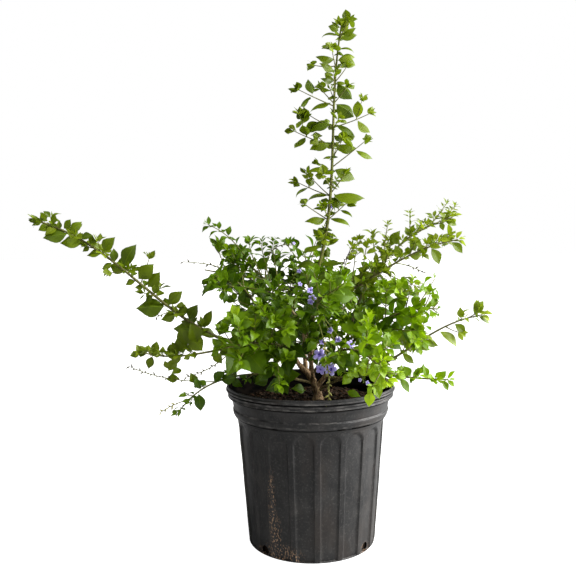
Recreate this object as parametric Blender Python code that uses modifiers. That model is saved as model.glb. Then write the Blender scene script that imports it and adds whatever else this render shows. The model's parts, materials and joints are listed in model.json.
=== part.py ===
"""A duranta shrub in a fluted nursery pot, 0.86 m tall.

Sizes are in metres and angles in degrees. +Z is up, and the origin is the middle of the pot's flat
underside. -Y is the side that faces the viewer, and an azimuth turns from +X (the viewer's right)
towards +Y (away from the viewer). A short trunk stands on the soil and forks into stems. Each shoot
leaves a stem as a bare woody bough, and ends in a mass of foliage that keeps to its own space.
"""

import math
import random

import bmesh
import bpy
from mathutils import Matrix, Vector
from mathutils.bvhtree import BVHTree
from mathutils.kdtree import KDTree

UP = Vector((0.0, 0.0, 1.0))

# Touching pieces keep this gap, because a mesh's numbers are rounded.
GAP = 0.0003

# Pot
POT_HEIGHT = 0.262
POT_SIDES = 36
POT_TURN = 3.0
WALL = 0.003
RIM_RADIUS = 0.140
LIP_FOOT = 0.2545
SKIRT_RADIUS = 0.1365
SKIRT_FOOT = 0.2435
BAND_RADIUS = 0.130
BAND_TOP = 0.2365
BAND_FOOT = 0.2165
SHOULDER_HEIGHT = 0.2065
SHOULDER_RADIUS = 0.1215
FOOT_RADIUS = 0.1060
FOOT_ROUND = 0.005
FLUTES = 18
FLUTE_WIDTH = 0.031
FLUTE_TOP = 0.203
FLUTE_DEPTH = 0.0018
FLUTE_RUN = 0.01
DRAIN_FLUTES = (2, 7, 11, 16)
DRAIN_RADIUS = 0.0065

# Soil
SOIL_TOP = 0.234
SOIL_DIP = 0.003
SOIL_FLAT = 0.045

# Trunk, stems and boughs
TRUNK_X = 0.013
TRUNK_RADII = (0.0068, 0.0048)
TRUNK_LENGTH = 0.057
TRUNK_RISES = (76, 57, 38)
FLARE_LENGTH = 0.012
FLARE = 1.75
LIMB_STEP = 0.012
BOUGH_RADII = (0.0027, 0.0022)

# Foliage
SEED = 11
STEM_STEP = 0.024
STEM_RADII = (0.0020, 0.0013)
TWIG_RADIUS = 0.0009
LEAF_WIDTH = 0.54
LEAF_THICKNESS = 0.021
LEAF_ROLL = 55.0
REACH = 0.095
CELL_MARGIN = 0.0022
CLEARANCE = 0.0012
BLOOM_RADIUS = 0.0085
BLOOM_DEPTH = 0.008

# name: parent, place along the parent from 0 to 1, azimuth, three rise angles, length, two radii
STEMS = {
    "stem_left": ("trunk", 1.00, 184, (62, 50, 38), 0.080, (0.0040, 0.0030)),
    "stem_centre": ("trunk", 0.74, 30, (96, 88, 82), 0.120, (0.0038, 0.0028)),
    "stem_right": ("trunk", 0.15, 352, (52, 60, 66), 0.115, (0.0042, 0.0028)),
    "stem_front": ("trunk", 0.33, 262, (44, 55, 62), 0.085, (0.0034, 0.0026)),
    "stem_back": ("trunk", 0.53, 84, (46, 58, 64), 0.095, (0.0036, 0.0026)),
}

# name: parent, place along it, azimuth, three rise angles, length, bare length, joints, twig and leaf lengths
SHOOTS = {
    "leader": ("stem_centre", 1.0, 8, (65, 87, 80), 0.442, 0.020, 15, 0.058, 0.040),
    "long_left": ("stem_left", 0.45, 184, (-9, 40, 18), 0.455, 0.060, 11, 0.036, 0.042),
    "low_left": ("stem_left", 0.15, 194, (41, -7, 17), 0.248, 0.045, 6, 0.055, 0.046),
    "trailing_left": ("trunk", 0.29, 196, (18, -1, -50), 0.235, 0.040, 5, 0.056, 0.044),
    "upper_left": ("stem_centre", 0.62, 166, (50, 44, 18), 0.228, 0.036, 5, 0.058, 0.048),
    "mid_left": ("stem_left", 1.0, 200, (63, 52, 6), 0.143, 0.016, 4, 0.075, 0.054),
    "front_left": ("stem_front", 0.60, 228, (36, 14, -4), 0.185, 0.028, 4, 0.075, 0.054),
    "front": ("stem_front", 1.0, 277, (62, 40, 8), 0.140, 0.020, 4, 0.075, 0.052),
    "front_right": ("stem_front", 0.30, 306, (44, 12, -52), 0.190, 0.040, 4, 0.066, 0.052),
    "mid_right": ("stem_right", 0.72, 334, (25, 32, -6), 0.165, 0.022, 4, 0.075, 0.054),
    "low_right": ("stem_right", 0.20, 346, (-8, 34, 12), 0.268, 0.050, 6, 0.062, 0.050),
    "trailing_right": ("trunk", 0.03, 334, (41, 4, 3), 0.215, 0.055, 4, 0.050, 0.044),
    "upper_right": ("stem_centre", 0.84, 352, (16, 32, 10), 0.262, 0.035, 6, 0.056, 0.044),
    "upper_right_back": ("stem_right", 1.0, 14, (78, 46, 16), 0.262, 0.030, 5, 0.060, 0.048),
    "back_top": ("stem_back", 1.0, 94, (66, 48, 22), 0.165, 0.025, 4, 0.066, 0.052),
    "back_left": ("stem_back", 0.72, 134, (40, 32, 8), 0.230, 0.045, 4, 0.066, 0.052),
    "back_right": ("stem_back", 0.50, 50, (38, 30, 6), 0.230, 0.045, 4, 0.066, 0.052),
    "back_low": ("stem_back", 0.24, 98, (34, 10, -8), 0.195, 0.045, 3, 0.066, 0.052),
}

# shoot, place along its stem, azimuth, three rise angles, length, number of open blooms
RACEMES = (
    ("front", 0.30, 312, (-20, -60, -88), 0.085, 4),
    ("front", 0.12, 240, (60, 30, 0), 0.045, 3),
    ("mid_right", 0.35, 292, (10, 0, -20), 0.050, 3),
    ("mid_left", 0.70, 196, (18, 4, -22), 0.075, 0),
    ("trailing_left", 0.55, 184, (-6, 6, 22), 0.095, 0),
    ("mid_right", 0.62, 8, (52, 30, -10), 0.060, 0),
    ("back_top", 0.60, 60, (40, 20, 0), 0.050, 2),
)


def rise_at(rises, t):
    """The rise angle at a place from 0 to 1, on the smooth curve through three angles."""
    first, middle, last = rises
    return first * (1 - t) * (1 - 2 * t) + 4 * middle * t * (1 - t) + last * t * (2 * t - 1)


def heading(azimuth, rise):
    """A unit vector along an azimuth and a rise angle."""
    a, r = math.radians(azimuth), math.radians(rise)
    return Vector((math.cos(r) * math.cos(a), math.cos(r) * math.sin(a), math.sin(r)))


def limb_path(start, azimuth, rises, length):
    """Evenly spaced points of a limb whose slope passes through three rise angles."""
    steps = max(4, round(length / LIMB_STEP))
    points = [Vector(start)]
    for i in range(steps):
        points.append(points[-1] + heading(azimuth, rise_at(rises, (i + 0.5) / steps)) * length / steps)
    return points


def along(points, place):
    """The point at a place from 0 to 1 along evenly spaced points, and the direction there."""
    x = min(max(place, 0.0), 1.0) * (len(points) - 1)
    i = min(int(x), len(points) - 2)
    return points[i].lerp(points[i + 1], x - i), (points[i + 1] - points[i]).normalized()


def part_of(points, start, end, step):
    """Evenly spaced points, about a step apart, between two places along a path."""
    length = (points[1] - points[0]).length * (len(points) - 1) * (end - start)
    count = max(2, round(length / step))
    return [along(points, start + (end - start) * i / count)[0] for i in range(count + 1)]


def tapered(points, radii):
    """A radius for each point, from the first radius to the last."""
    last = len(points) - 1
    return [radii[0] + (radii[1] - radii[0]) * i / last for i in range(last + 1)]


def material(name, colour, roughness):
    """A plain finish with a base colour."""
    made = bpy.data.materials.new(name)
    made.use_nodes = True
    shader = made.node_tree.nodes["Principled BSDF"]
    shader.inputs["Base Color"].default_value = (*colour, 1.0)
    shader.inputs["Roughness"].default_value = roughness
    return made


def collection(name):
    """A new collection in the scene."""
    made = bpy.data.collections.new(name)
    bpy.context.scene.collection.children.link(made)
    return made


def object_from(name, mesh, into):
    """An object around a mesh, linked to a collection."""
    made = bpy.data.objects.new(name, mesh)
    into.objects.link(made)
    return made


def object_from_bmesh(name, bm, into):
    """An object that holds what a bmesh holds."""
    mesh = bpy.data.meshes.new(name)
    bm.to_mesh(mesh)
    bm.free()
    return object_from(name, mesh, into)


def finish(thing, surface):
    """Gives an object its one material."""
    thing.data.materials.clear()
    thing.data.materials.append(surface)


def curve_object(name, dimensions, points, cyclic):
    """A curve object with one straight-edged spline."""
    curve = bpy.data.curves.new(name, "CURVE")
    curve.dimensions = dimensions
    spline = curve.splines.new("POLY")
    spline.points.add(len(points) - 1)
    for corner, point in zip(spline.points, points):
        corner.co = (*point, 1.0)
    spline.use_cyclic_u = cyclic
    return object_from(name, curve, bpy.context.scene.collection)


def mesh_from_curve(drawn, name, into):
    """A closed mesh object from a curve object, which is then removed."""
    bpy.context.view_layer.update()
    mesh = bpy.data.meshes.new_from_object(drawn.evaluated_get(bpy.context.evaluated_depsgraph_get()))
    bm = bmesh.new()
    bm.from_mesh(mesh)
    bmesh.ops.remove_doubles(bm, verts=bm.verts, dist=0.00001)
    bmesh.ops.recalc_face_normals(bm, faces=bm.faces)
    bm.to_mesh(mesh)
    bm.free()
    made = object_from(name, mesh, into)
    made.matrix_world = drawn.matrix_world
    bpy.data.objects.remove(drawn)
    return made


def tube(name, points, radii, roundness, into):
    """A tapering limb: a curve with a round bevel that follows the radii, and with filled ends."""
    drawn = curve_object(name + "_line", "3D", points, False)
    drawn.data.bevel_depth = 1.0
    drawn.data.bevel_resolution = roundness
    drawn.data.use_fill_caps = True
    for corner, radius in zip(drawn.data.splines[0].points, radii):
        corner.radius = radius
    return mesh_from_curve(drawn, name, into)


def combine(thing, operands, operation):
    """Applies one Boolean between an object and a collection, then removes the collection's objects."""
    boolean = thing.modifiers.new(operation.lower(), "BOOLEAN")
    boolean.operation = operation
    boolean.solver = "EXACT"
    boolean.operand_type = "COLLECTION"
    boolean.collection = operands
    evaluated = thing.evaluated_get(bpy.context.evaluated_depsgraph_get())
    mesh = bpy.data.meshes.new_from_object(evaluated)
    thing.modifiers.clear()
    thing.data = mesh
    for operand in list(operands.objects):
        bpy.data.objects.remove(operand)
    bpy.data.collections.remove(operands)


def keep_largest_piece(thing):
    """Keeps the piece of a mesh with the most faces, and drops loose scraps and sealed hollows."""
    bm = bmesh.new()
    bm.from_mesh(thing.data)
    islands, unseen = [], set(bm.faces)
    while unseen:
        island, queue = set(), [unseen.pop()]
        while queue:
            face = queue.pop()
            island.add(face)
            near = {other for edge in face.edges for other in edge.link_faces} & unseen
            unseen -= near
            queue += near
        islands.append(island)
    largest = max(islands, key=len)
    bmesh.ops.delete(bm, geom=[face for face in bm.faces if face not in largest], context="FACES")
    bm.to_mesh(thing.data)
    bm.free()


def turned(name, profile, into):
    """A turned shape: a profile of (radius, height) pairs, spun about the upright axis."""
    mesh = bpy.data.meshes.new(name)
    edges = [(i, i + 1) for i in range(len(profile) - 1)]
    mesh.from_pydata([(r, 0.0, z) for r, z in profile], edges, [])
    made = object_from(name, mesh, into)
    made.rotation_euler.z = math.radians(POT_TURN)
    screw = made.modifiers.new("turn", "SCREW")
    screw.axis = "Z"
    screw.steps = screw.render_steps = POT_SIDES
    screw.use_merge_vertices = True
    screw.merge_threshold = 0.00005
    return made


def wall_radius(height):
    """The radius of the pot's plain wall, which tapers from its shoulder to its foot."""
    share = (height - FOOT_ROUND) / (SHOULDER_HEIGHT - FOOT_ROUND)
    return FOOT_RADIUS + (SHOULDER_RADIUS - FOOT_RADIUS) * share


INNER_WALL = (
    (wall_radius(WALL) - WALL, WALL),
    (SHOULDER_RADIUS - WALL, SHOULDER_HEIGHT + 0.4 * WALL),
    (BAND_RADIUS - 1.4 * WALL, BAND_FOOT + 0.4 * WALL),
    (BAND_RADIUS - WALL, BAND_TOP + 0.4 * WALL),
    (SKIRT_RADIUS - 0.9 * WALL, SKIRT_FOOT + 0.5 * WALL),
)


def inner_radius(height):
    """The radius of the pot's inside at a height, up to the lip."""
    for (r0, z0), (r1, z1) in zip(INNER_WALL, INNER_WALL[1:]):
        if height <= z1:
            return r0 + (r1 - r0) * (height - z0) / (z1 - z0)
    return INNER_WALL[-1][0]


def pot_profile():
    """The pot's section: up the inside from the floor's middle, over the lip, and down the outside."""
    inside = [(0.0, WALL), *INNER_WALL, (RIM_RADIUS - WALL, LIP_FOOT), (RIM_RADIUS - WALL, POT_HEIGHT)]
    lip = [(RIM_RADIUS - 0.3 * WALL, POT_HEIGHT), (RIM_RADIUS, POT_HEIGHT - 0.0015), (RIM_RADIUS, LIP_FOOT)]
    skirt = [(SKIRT_RADIUS, SKIRT_FOOT)]
    band = [(BAND_RADIUS, BAND_TOP), (BAND_RADIUS - 0.4 * WALL, BAND_FOOT)]
    shoulder = [(SHOULDER_RADIUS, SHOULDER_HEIGHT)]
    foot = [(FOOT_RADIUS, FOOT_ROUND), (FOOT_RADIUS - 0.0025, 0.0), (0.0, 0.0)]
    return inside + lip + skirt + band + shoulder + foot


def add_flute_cutter(into):
    """Arch-topped blocks that press the flutes into the wall, hollowed so that the floors stay round."""
    half = FLUTE_WIDTH / 2
    turns = [math.pi * i / 8 for i in range(9)]
    arch = [(half * math.cos(turn), FLUTE_TOP - half + half * math.sin(turn), 0.0) for turn in turns]
    foot = 0.86 * half
    drawn = curve_object("flute_outline", "2D", [(foot, -FLUTE_RUN, 0.0), *arch, (-foot, -FLUTE_RUN, 0.0)], True)
    drawn.data.fill_mode = "BOTH"
    drawn.data.extrude = FLUTE_RUN
    block = mesh_from_curve(drawn, "flute_block", into)
    taper = math.atan2(SHOULDER_RADIUS - FOOT_RADIUS, SHOULDER_HEIGHT - FOOT_ROUND)
    stand = Matrix.Rotation(math.radians(90), 4, "Z") @ Matrix.Rotation(math.radians(90), 4, "X")
    place = Matrix.Translation((wall_radius(0.0), 0.0, 0.0)) @ Matrix.Rotation(taper, 4, "Y") @ stand
    bm = bmesh.new()
    for i in range(FLUTES):
        bm.from_mesh(block.data)
        bm.verts.ensure_lookup_table()
        spin = Matrix.Rotation(math.radians(POT_TURN + 360.0 * i / FLUTES), 4, "Z")
        bmesh.ops.transform(bm, matrix=spin @ place, verts=bm.verts[-len(block.data.vertices):])
    bpy.data.objects.remove(block)

    core = collection("flute_core")
    high, low = SHOULDER_HEIGHT, -2 * FLUTE_RUN
    floor = [(wall_radius(height) - FLUTE_DEPTH, height) for height in (high, low)]
    turned("flute_core", [(0.0, high), *floor, (0.0, low)], core)
    combine(object_from_bmesh("flute_cutter", bm, into), core, "DIFFERENCE")


def add_drain_cutter(azimuth, into):
    """A round bar that opens one drain at the corner between wall and floor."""
    bm = bmesh.new()
    sizes = {"radius1": DRAIN_RADIUS, "radius2": DRAIN_RADIUS, "depth": 4 * DRAIN_RADIUS}
    bmesh.ops.create_cone(bm, cap_ends=True, segments=12, **sizes)
    cutter = object_from_bmesh("drain_cutter", bm, into)
    out = Matrix.Translation((FOOT_RADIUS, 0.0, 0.9 * DRAIN_RADIUS))
    lie_down = Matrix.Rotation(math.radians(90), 4, "Y")
    cutter.matrix_world = Matrix.Rotation(math.radians(azimuth), 4, "Z") @ out @ lie_down


def make_pot(into, surface):
    """The pot: a turned shell, its flutes pressed in, and its drains cut through the foot."""
    pot = turned("pot", pot_profile(), into)
    cutters = collection("pot_cutters")
    add_flute_cutter(cutters)
    for flute in DRAIN_FLUTES:
        add_drain_cutter(POT_TURN + 360.0 * flute / FLUTES, cutters)
    combine(pot, cutters, "DIFFERENCE")
    finish(pot, surface)


def make_soil(into, surface):
    """The soil that fills the pot, dipping a little towards the wall."""
    edge = SOIL_TOP - SOIL_DIP
    top = [(0.0, SOIL_TOP), (SOIL_FLAT, SOIL_TOP), (inner_radius(edge) - GAP, edge)]
    side = [(r - 1.2 * GAP, z) for r, z in reversed(INNER_WALL) if WALL < z < edge]
    foot = [(INNER_WALL[0][0] - 1.2 * GAP, WALL + GAP), (0.0, WALL + GAP)]
    finish(turned("soil", top + side + foot, into), surface)


def limb_lines():
    """The points and radii of the trunk, the stems and the boughs, and the points of each mass's stem."""
    ground = Vector((TRUNK_X, 0.0, SOIL_TOP + GAP))
    crown = limb_path(ground + FLARE_LENGTH * UP, 180, TRUNK_RISES, TRUNK_LENGTH)
    shares = (0.0, 0.25, 0.55)
    flare = [ground + share * FLARE_LENGTH * UP for share in shares]
    flare_radii = [TRUNK_RADII[0] * (1 + (FLARE - 1) * (1 - share) ** 2) for share in shares]
    limbs = {"trunk": (flare + crown, flare_radii + tapered(crown, TRUNK_RADII))}
    paths = {"trunk": crown}
    for name, (parent, place, azimuth, rises, length, radii) in STEMS.items():
        paths[name] = limb_path(along(paths[parent], place)[0], azimuth, rises, length)
        limbs[name] = (paths[name], tapered(paths[name], radii))

    stems = {}
    for name, (parent, place, azimuth, rises, length, bare, *_) in SHOOTS.items():
        whole = limb_path(along(paths[parent], place)[0], azimuth, rises, length)
        bough = part_of(whole, 0.0, bare / length, 1.5 * LIMB_STEP)
        limbs["bough_" + name] = (bough, tapered(bough, BOUGH_RADII))
        stems[name] = part_of(whole, (bare + GAP) / length, 1.0, STEM_STEP)
    return limbs, stems


def make_limbs(limbs, into, surface):
    """The trunk, then each limb in turn, cut clear of every limb made before it."""
    made = []
    for name, (points, radii) in limbs.items():
        roundness = {"trunk": 3, "stem": 1, "bough": 1}[name.split("_")[0]]
        limb = tube(name, points, radii, roundness, into)
        if made:
            cutters = collection(name + "_cutters")
            for line, widths, turns in made:
                ends = [line[0] - (line[1] - line[0]).normalized() * GAP, *line[1:-1]]
                ends.append(line[-1] + (line[-1] - line[-2]).normalized() * GAP)
                tube("clear", ends, [width + 1.2 * GAP for width in widths], turns, cutters)
            combine(limb, cutters, "DIFFERENCE")
            keep_largest_piece(limb)
        finish(limb, surface)
        made.append((points, radii, roundness))


def closely(points, radii):
    """Points and radii about 3 mm apart along a path."""
    for a, b, ra, rb in zip(points, points[1:], radii, radii[1:]):
        count = max(1, round((b - a).length / 0.003))
        for i in range(count):
            yield a.lerp(b, i / count), ra + (rb - ra) * i / count
    yield points[-1], radii[-1]


def search_tree(places):
    """A search tree of points."""
    tree = KDTree(len(places))
    for i, place in enumerate(places):
        tree.insert(place, i)
    tree.balance()
    return tree


class Space:
    """Where each mass of foliage may grow: nearer its own stem than any other, and clear of the rest."""

    def __init__(self, limbs, stems):
        near = {name: [p for p, _ in closely(stem, tapered(stem, (0, 0)))] for name, stem in stems.items()}
        self.own = {name: search_tree(places) for name, places in near.items()}
        self.others = {
            name: search_tree([p for other, places in near.items() if other != name for p in places])
            for name in stems
        }
        wood = [spot for points, radii in limbs.values() for spot in closely(points, radii)]
        self.wood = search_tree([place for place, _ in wood])
        self.wood_radii = [radius for _, radius in wood]

    @staticmethod
    def clear_of_pot(point):
        """Above the rim, outside it, or inside it and above the soil."""
        radius = math.hypot(point.x, point.y)
        over = point.z > POT_HEIGHT + CLEARANCE
        outside = radius > RIM_RADIUS + CLEARANCE and point.z > 0.5 * POT_HEIGHT
        inside = radius < inner_radius(point.z) - 2 * CLEARANCE and point.z > SOIL_TOP + CLEARANCE
        return over or outside or inside

    def allows(self, name, point, radius=0.0):
        """Whether a ball of some radius at a point stays in the mass's own space."""
        own = self.own[name].find(point)[2]
        if own > REACH or self.others[name].find(point)[2] - own < CELL_MARGIN + 2 * radius:
            return False
        for _, index, distance in self.wood.find_range(point, 0.02):
            if distance < self.wood_radii[index] + radius + CLEARANCE:
                return False
        return self.clear_of_pot(point)


def leaf_frame(root, direction, roll):
    """The placing of a leaf that points along a direction, with its face turned to the sky."""
    forward = direction.normalized()
    sky = UP if abs(forward.z) < 0.92 else Vector((forward.x, forward.y, 0.15))
    side = sky.cross(forward).normalized()
    turn = Matrix.Rotation(math.radians(roll), 3, forward)
    side, face = turn @ side, turn @ forward.cross(side)
    frame = Matrix((forward, side, face)).transposed().to_4x4()
    frame.translation = root
    return frame


def leaf_shape(frame, length):
    """A leaf of eight faces: a sphere of four segments pulled out to a leaf's six corners."""
    half_width, half_thickness = 0.5 * length * LEAF_WIDTH, 0.5 * length * LEAF_THICKNESS
    widest, arch, edge = 0.42 * length, 0.10 * length, 0.13 * length
    bm = bmesh.new()
    bmesh.ops.create_uvsphere(bm, u_segments=4, v_segments=2, radius=1.0)
    for vertex in bm.verts:
        x, y, z = vertex.co
        if abs(z) > 0.5:
            vertex.co = (length, 0.0, -0.06 * length) if z > 0 else (0.0, 0.0, 0.0)
        elif abs(x) > 0.5:
            vertex.co = (widest, math.copysign(half_width, x), edge)
        else:
            vertex.co = (widest, 0.0, arch + math.copysign(half_thickness, y))
    bmesh.ops.recalc_face_normals(bm, faces=bm.faces)
    bmesh.ops.transform(bm, matrix=frame, verts=bm.verts)
    return bm


def rod_shape(start, end, radii, sides):
    """A straight tapering twig or bloom between two points."""
    bm = bmesh.new()
    sizes = {"radius1": radii[0], "radius2": radii[1], "depth": (end - start).length}
    bmesh.ops.create_cone(bm, cap_ends=True, segments=sides, **sizes)
    turn = (end - start).to_track_quat("Z", "Y").to_matrix().to_4x4()
    bmesh.ops.transform(bm, matrix=Matrix.Translation((start + end) / 2) @ turn, verts=bm.verts)
    return bm


def surface_points(bm, apart):
    """Points on the edges of a shape, at most some distance apart."""
    for edge in bm.edges:
        a, b = (vertex.co for vertex in edge.verts)
        count = math.ceil((b - a).length / apart)
        for i in range(count + 1):
            yield a.lerp(b, i / count)


class Mass:
    """One mass of foliage: twigs and leaves gathered round a stem, then fused with it."""

    def __init__(self, name, stem, leaf_length, space, rng):
        self.name, self.stem, self.leaf_length, self.space, self.rng = name, stem, leaf_length, space, rng
        self.length = sum((b - a).length for a, b in zip(stem, stem[1:]))
        self.parts = collection("growth_" + name)
        self.grown = []
        self.leaves = 0

    def fits(self, bm, root, carrier):
        """Whether a shape stays in the mass's space and crosses nothing but what carries it."""
        places = [p for p in surface_points(bm, 0.006) if (p - root).length > 0.004]
        if not all(self.space.allows(self.name, place) for place in places):
            return False
        tree = BVHTree.FromBMesh(bm)
        return not any(tree.overlap(other) for other in self.grown if other is not carrier)

    def add(self, name, bm):
        """Keeps a shape, and returns the tree that tells what crosses it."""
        tree = BVHTree.FromBMesh(bm)
        self.grown.append(tree)
        object_from_bmesh(name, bm, self.parts)
        return tree

    def leaf(self, base, direction, length, carrier=None):
        """Adds a leaf, after a few tries at a slant where something is in its way."""
        root = base + direction.normalized() * 0.0002
        for slant in (0.0, 0.25, -0.25, 0.5):
            wanted = direction.normalized() + slant * UP
            bm = leaf_shape(leaf_frame(root, wanted, self.rng.uniform(-LEAF_ROLL, LEAF_ROLL)), length)
            if self.fits(bm, root, carrier):
                self.leaves += 1
                return self.add("leaf", bm)
            bm.free()

    def twig(self, base, direction, length):
        """Adds a side twig, shortened until it fits, with pairs of leaves along it."""
        root = base + direction * 0.0003
        while length > 0.012:
            end = root + direction * length
            bm = rod_shape(root, end, (TWIG_RADIUS, 0.8 * TWIG_RADIUS), 3)
            if self.fits(bm, root, None):
                break
            bm.free()
            length -= 0.006
        else:
            return
        carrier = self.add("twig", bm)
        across = direction.cross(UP).normalized()
        pairs = 1 + (length > 0.030) + (length > 0.060)
        for i in range(pairs):
            place = root.lerp(end, 1 - 0.0015 / length - i * 0.62 / pairs)
            spread = 0.75 + 0.5 * i
            turn = Matrix.Rotation(math.radians(self.rng.uniform(-35, 35)), 3, direction)
            size = self.leaf_length * (0.65 + 0.12 * i) * self.rng.uniform(0.9, 1.1)
            for sign in (1, -1):
                self.leaf(place, turn @ across * sign * spread + direction + 0.15 * UP, size, carrier)

    def grow(self, joints, longest):
        """Opposite leaves and side twigs at each joint of the stem, each pair a quarter turn on."""
        turn = self.rng.uniform(-20, 20)
        for k in range(joints):
            place = (0.010 + (self.length - 0.014) * k / (joints - 0.5)) / self.length
            base, forward = along(self.stem, place)
            level = forward.cross(UP) if abs(forward.z) < 0.95 else Vector((0.0, 1.0, 0.0))
            spin = Matrix.Rotation(math.radians(90 * k + turn + self.rng.uniform(-14, 14)), 3, forward)
            out = spin @ level.normalized()
            size = self.leaf_length * (1.0 - 0.4 * place**3)
            reach = longest * (1.0 - 0.6 * place**2)
            for sign in (1, -1):
                self.leaf(base, out * sign + forward * 0.35, size * self.rng.uniform(0.88, 1.05))
                aim = out * sign * 0.8 + forward * 0.65 + (1 - abs(forward.z)) * 0.3 * UP
                self.twig(base + forward * 0.0035, aim.normalized(), reach * self.rng.uniform(0.85, 1.1))
        tip, forward = along(self.stem, 1.0)
        level = forward.cross(Vector((0.1, 1.0, 0.2))).normalized()
        for sign in (1, -1):
            self.leaf(tip - forward * 0.002, forward + level * 0.6 * sign, self.leaf_length * 0.55)

    def raceme(self, place, azimuth, rises, length, blooms):
        """A thin flowering spray, with its open blooms in the half next to the stem."""
        base, _ = along(self.stem, place)
        points = limb_path(base, azimuth, rises, length)
        spray = tube("spray", points, tapered(points, (0.9 * TWIG_RADIUS, 0.6 * TWIG_RADIUS)), 0, self.parts)
        bm = bmesh.new()
        bm.from_mesh(spray.data)
        self.grown.append(BVHTree.FromBMesh(bm))
        bm.free()
        for i in range(blooms):
            root, forward = along(points, 0.20 + 0.45 * i / max(1, blooms - 1))
            spin = Matrix.Rotation(math.radians(137 * i - 40), 3, forward)
            out = (spin @ forward.cross(UP).normalized() + forward * 0.4).normalized()
            mouth = root + out * BLOOM_DEPTH
            bm = rod_shape(root + out * 0.0002, mouth, (0.6 * TWIG_RADIUS, BLOOM_RADIUS), 5)
            if self.fits(bm, root, self.grown[-1]):
                self.grown.insert(0, BVHTree.FromBMesh(bm))
                object_from_bmesh("bloom", bm, self.parts)
            else:
                bm.free()

    def fuse(self, into, surface):
        """The stem, with every twig, leaf and bloom joined to it as one closed solid."""
        mass = tube("foliage_" + self.name, self.stem, tapered(self.stem, STEM_RADII), 0, into)
        combine(mass, self.parts, "UNION")
        keep_largest_piece(mass)
        finish(mass, surface)
        return mass


def main():
    """Clears the scene and builds the pot, the soil, the wood and the foliage."""
    for thing in list(bpy.data.objects):
        bpy.data.objects.remove(thing)
    model = collection("potted_duranta")
    plastic = material("pot_plastic", (0.045, 0.044, 0.043), 0.55)
    earth = material("potting_soil", (0.030, 0.018, 0.010), 0.95)
    bark = material("bark", (0.190, 0.120, 0.060), 0.80)
    green = material("foliage", (0.130, 0.240, 0.020), 0.50)

    make_pot(model, plastic)
    make_soil(model, earth)
    limbs, stems = limb_lines()
    make_limbs(limbs, model, bark)

    space = Space(limbs, stems)
    rng = random.Random(SEED)
    total = 0
    for name, stem in stems.items():
        *_, joints, longest, leaf_length = SHOOTS[name]
        mass = Mass(name, stem, leaf_length, space, rng)
        for shoot, *spray in RACEMES:
            if shoot == name:
                mass.raceme(*spray)
        mass.grow(joints, longest)
        made = mass.fuse(model, green)
        total += mass.leaves
        print(f"{made.name}: {mass.leaves} leaves")
    print(f"{total} leaves in all")


main()
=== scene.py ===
# %% [markdown]
# # A duranta shrub in its nursery pot
#
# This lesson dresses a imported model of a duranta, a shrub with opposite leaves, thin side twigs and
# violet flowers, grown in a fluted plastic pot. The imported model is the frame: it says where the pot,
# the soil, the wood and each mass of foliage are. Every piece made here goes where the frame says.

# %% Load the frame
import json
import math
import random

import bpy
import numpy as np
from mathutils import Matrix, Vector
from mathutils.bvhtree import BVHTree
from mathutils.kdtree import KDTree

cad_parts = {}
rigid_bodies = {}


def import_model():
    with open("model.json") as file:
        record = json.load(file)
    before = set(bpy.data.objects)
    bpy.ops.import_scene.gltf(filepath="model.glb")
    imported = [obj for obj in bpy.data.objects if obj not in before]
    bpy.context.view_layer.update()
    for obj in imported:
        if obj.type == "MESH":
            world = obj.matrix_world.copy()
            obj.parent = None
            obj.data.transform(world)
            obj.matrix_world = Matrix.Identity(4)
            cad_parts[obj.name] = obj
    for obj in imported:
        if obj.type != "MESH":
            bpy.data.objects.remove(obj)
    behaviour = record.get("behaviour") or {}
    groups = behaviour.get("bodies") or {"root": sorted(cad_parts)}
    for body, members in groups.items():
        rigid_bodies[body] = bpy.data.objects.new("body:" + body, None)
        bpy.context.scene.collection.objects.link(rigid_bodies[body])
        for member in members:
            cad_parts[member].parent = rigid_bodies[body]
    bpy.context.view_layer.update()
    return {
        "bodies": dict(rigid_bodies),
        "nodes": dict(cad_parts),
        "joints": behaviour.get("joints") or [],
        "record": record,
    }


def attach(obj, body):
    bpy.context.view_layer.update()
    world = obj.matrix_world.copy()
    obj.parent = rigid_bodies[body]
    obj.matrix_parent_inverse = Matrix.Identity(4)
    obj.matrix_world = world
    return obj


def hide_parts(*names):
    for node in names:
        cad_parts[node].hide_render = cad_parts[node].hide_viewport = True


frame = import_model()
UP = Vector((0.0, 0.0, 1.0))

# %% [markdown]
# ## How a finish is made
#
# A real surface is never one flat colour. Each finish here is a Principled shader whose colour,
# roughness and relief come from noise that is read on Object coordinates. The pieces sit at the
# origin, so those are places in metres. Nodes could be added and linked one by one, but two helpers do
# that for a whole node at once, and the others make the parts that all finishes share.


# %% Helpers for finishes
EVEN = (1.0, 1.0, 1.0)
# The Mix node's own sockets for two colours and for what it makes of them
MIX_FIRST, MIX_SECOND, MIX_RESULT = 6, 7, 2


def wire(tree, made, inputs):
    """Gives a node its inputs, each a value or another node's socket."""
    for name, value in inputs.items():
        if isinstance(value, bpy.types.NodeSocket):
            tree.links.new(value, made.inputs[name])
        else:
            made.inputs[name].default_value = value


def node(tree, kind, inputs, output=0, **settings):
    """One output of a new node that has its settings and its inputs."""
    made = tree.nodes.new("ShaderNode" + kind)
    for name, value in settings.items():
        setattr(made, name, value)
    wire(tree, made, inputs)
    return made.outputs[output]


def new_finish(name, roughness, specular=0.5):
    """A material, its node tree, its Principled shader and its Object coordinates."""
    made = bpy.data.materials.new(name)
    made.use_nodes = True
    tree = made.node_tree
    shader = tree.nodes["Principled BSDF"]
    wire(tree, shader, {"Roughness": roughness, "Specular IOR Level": specular})
    return made, tree, shader, node(tree, "TexCoord", {}, "Object")


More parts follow.
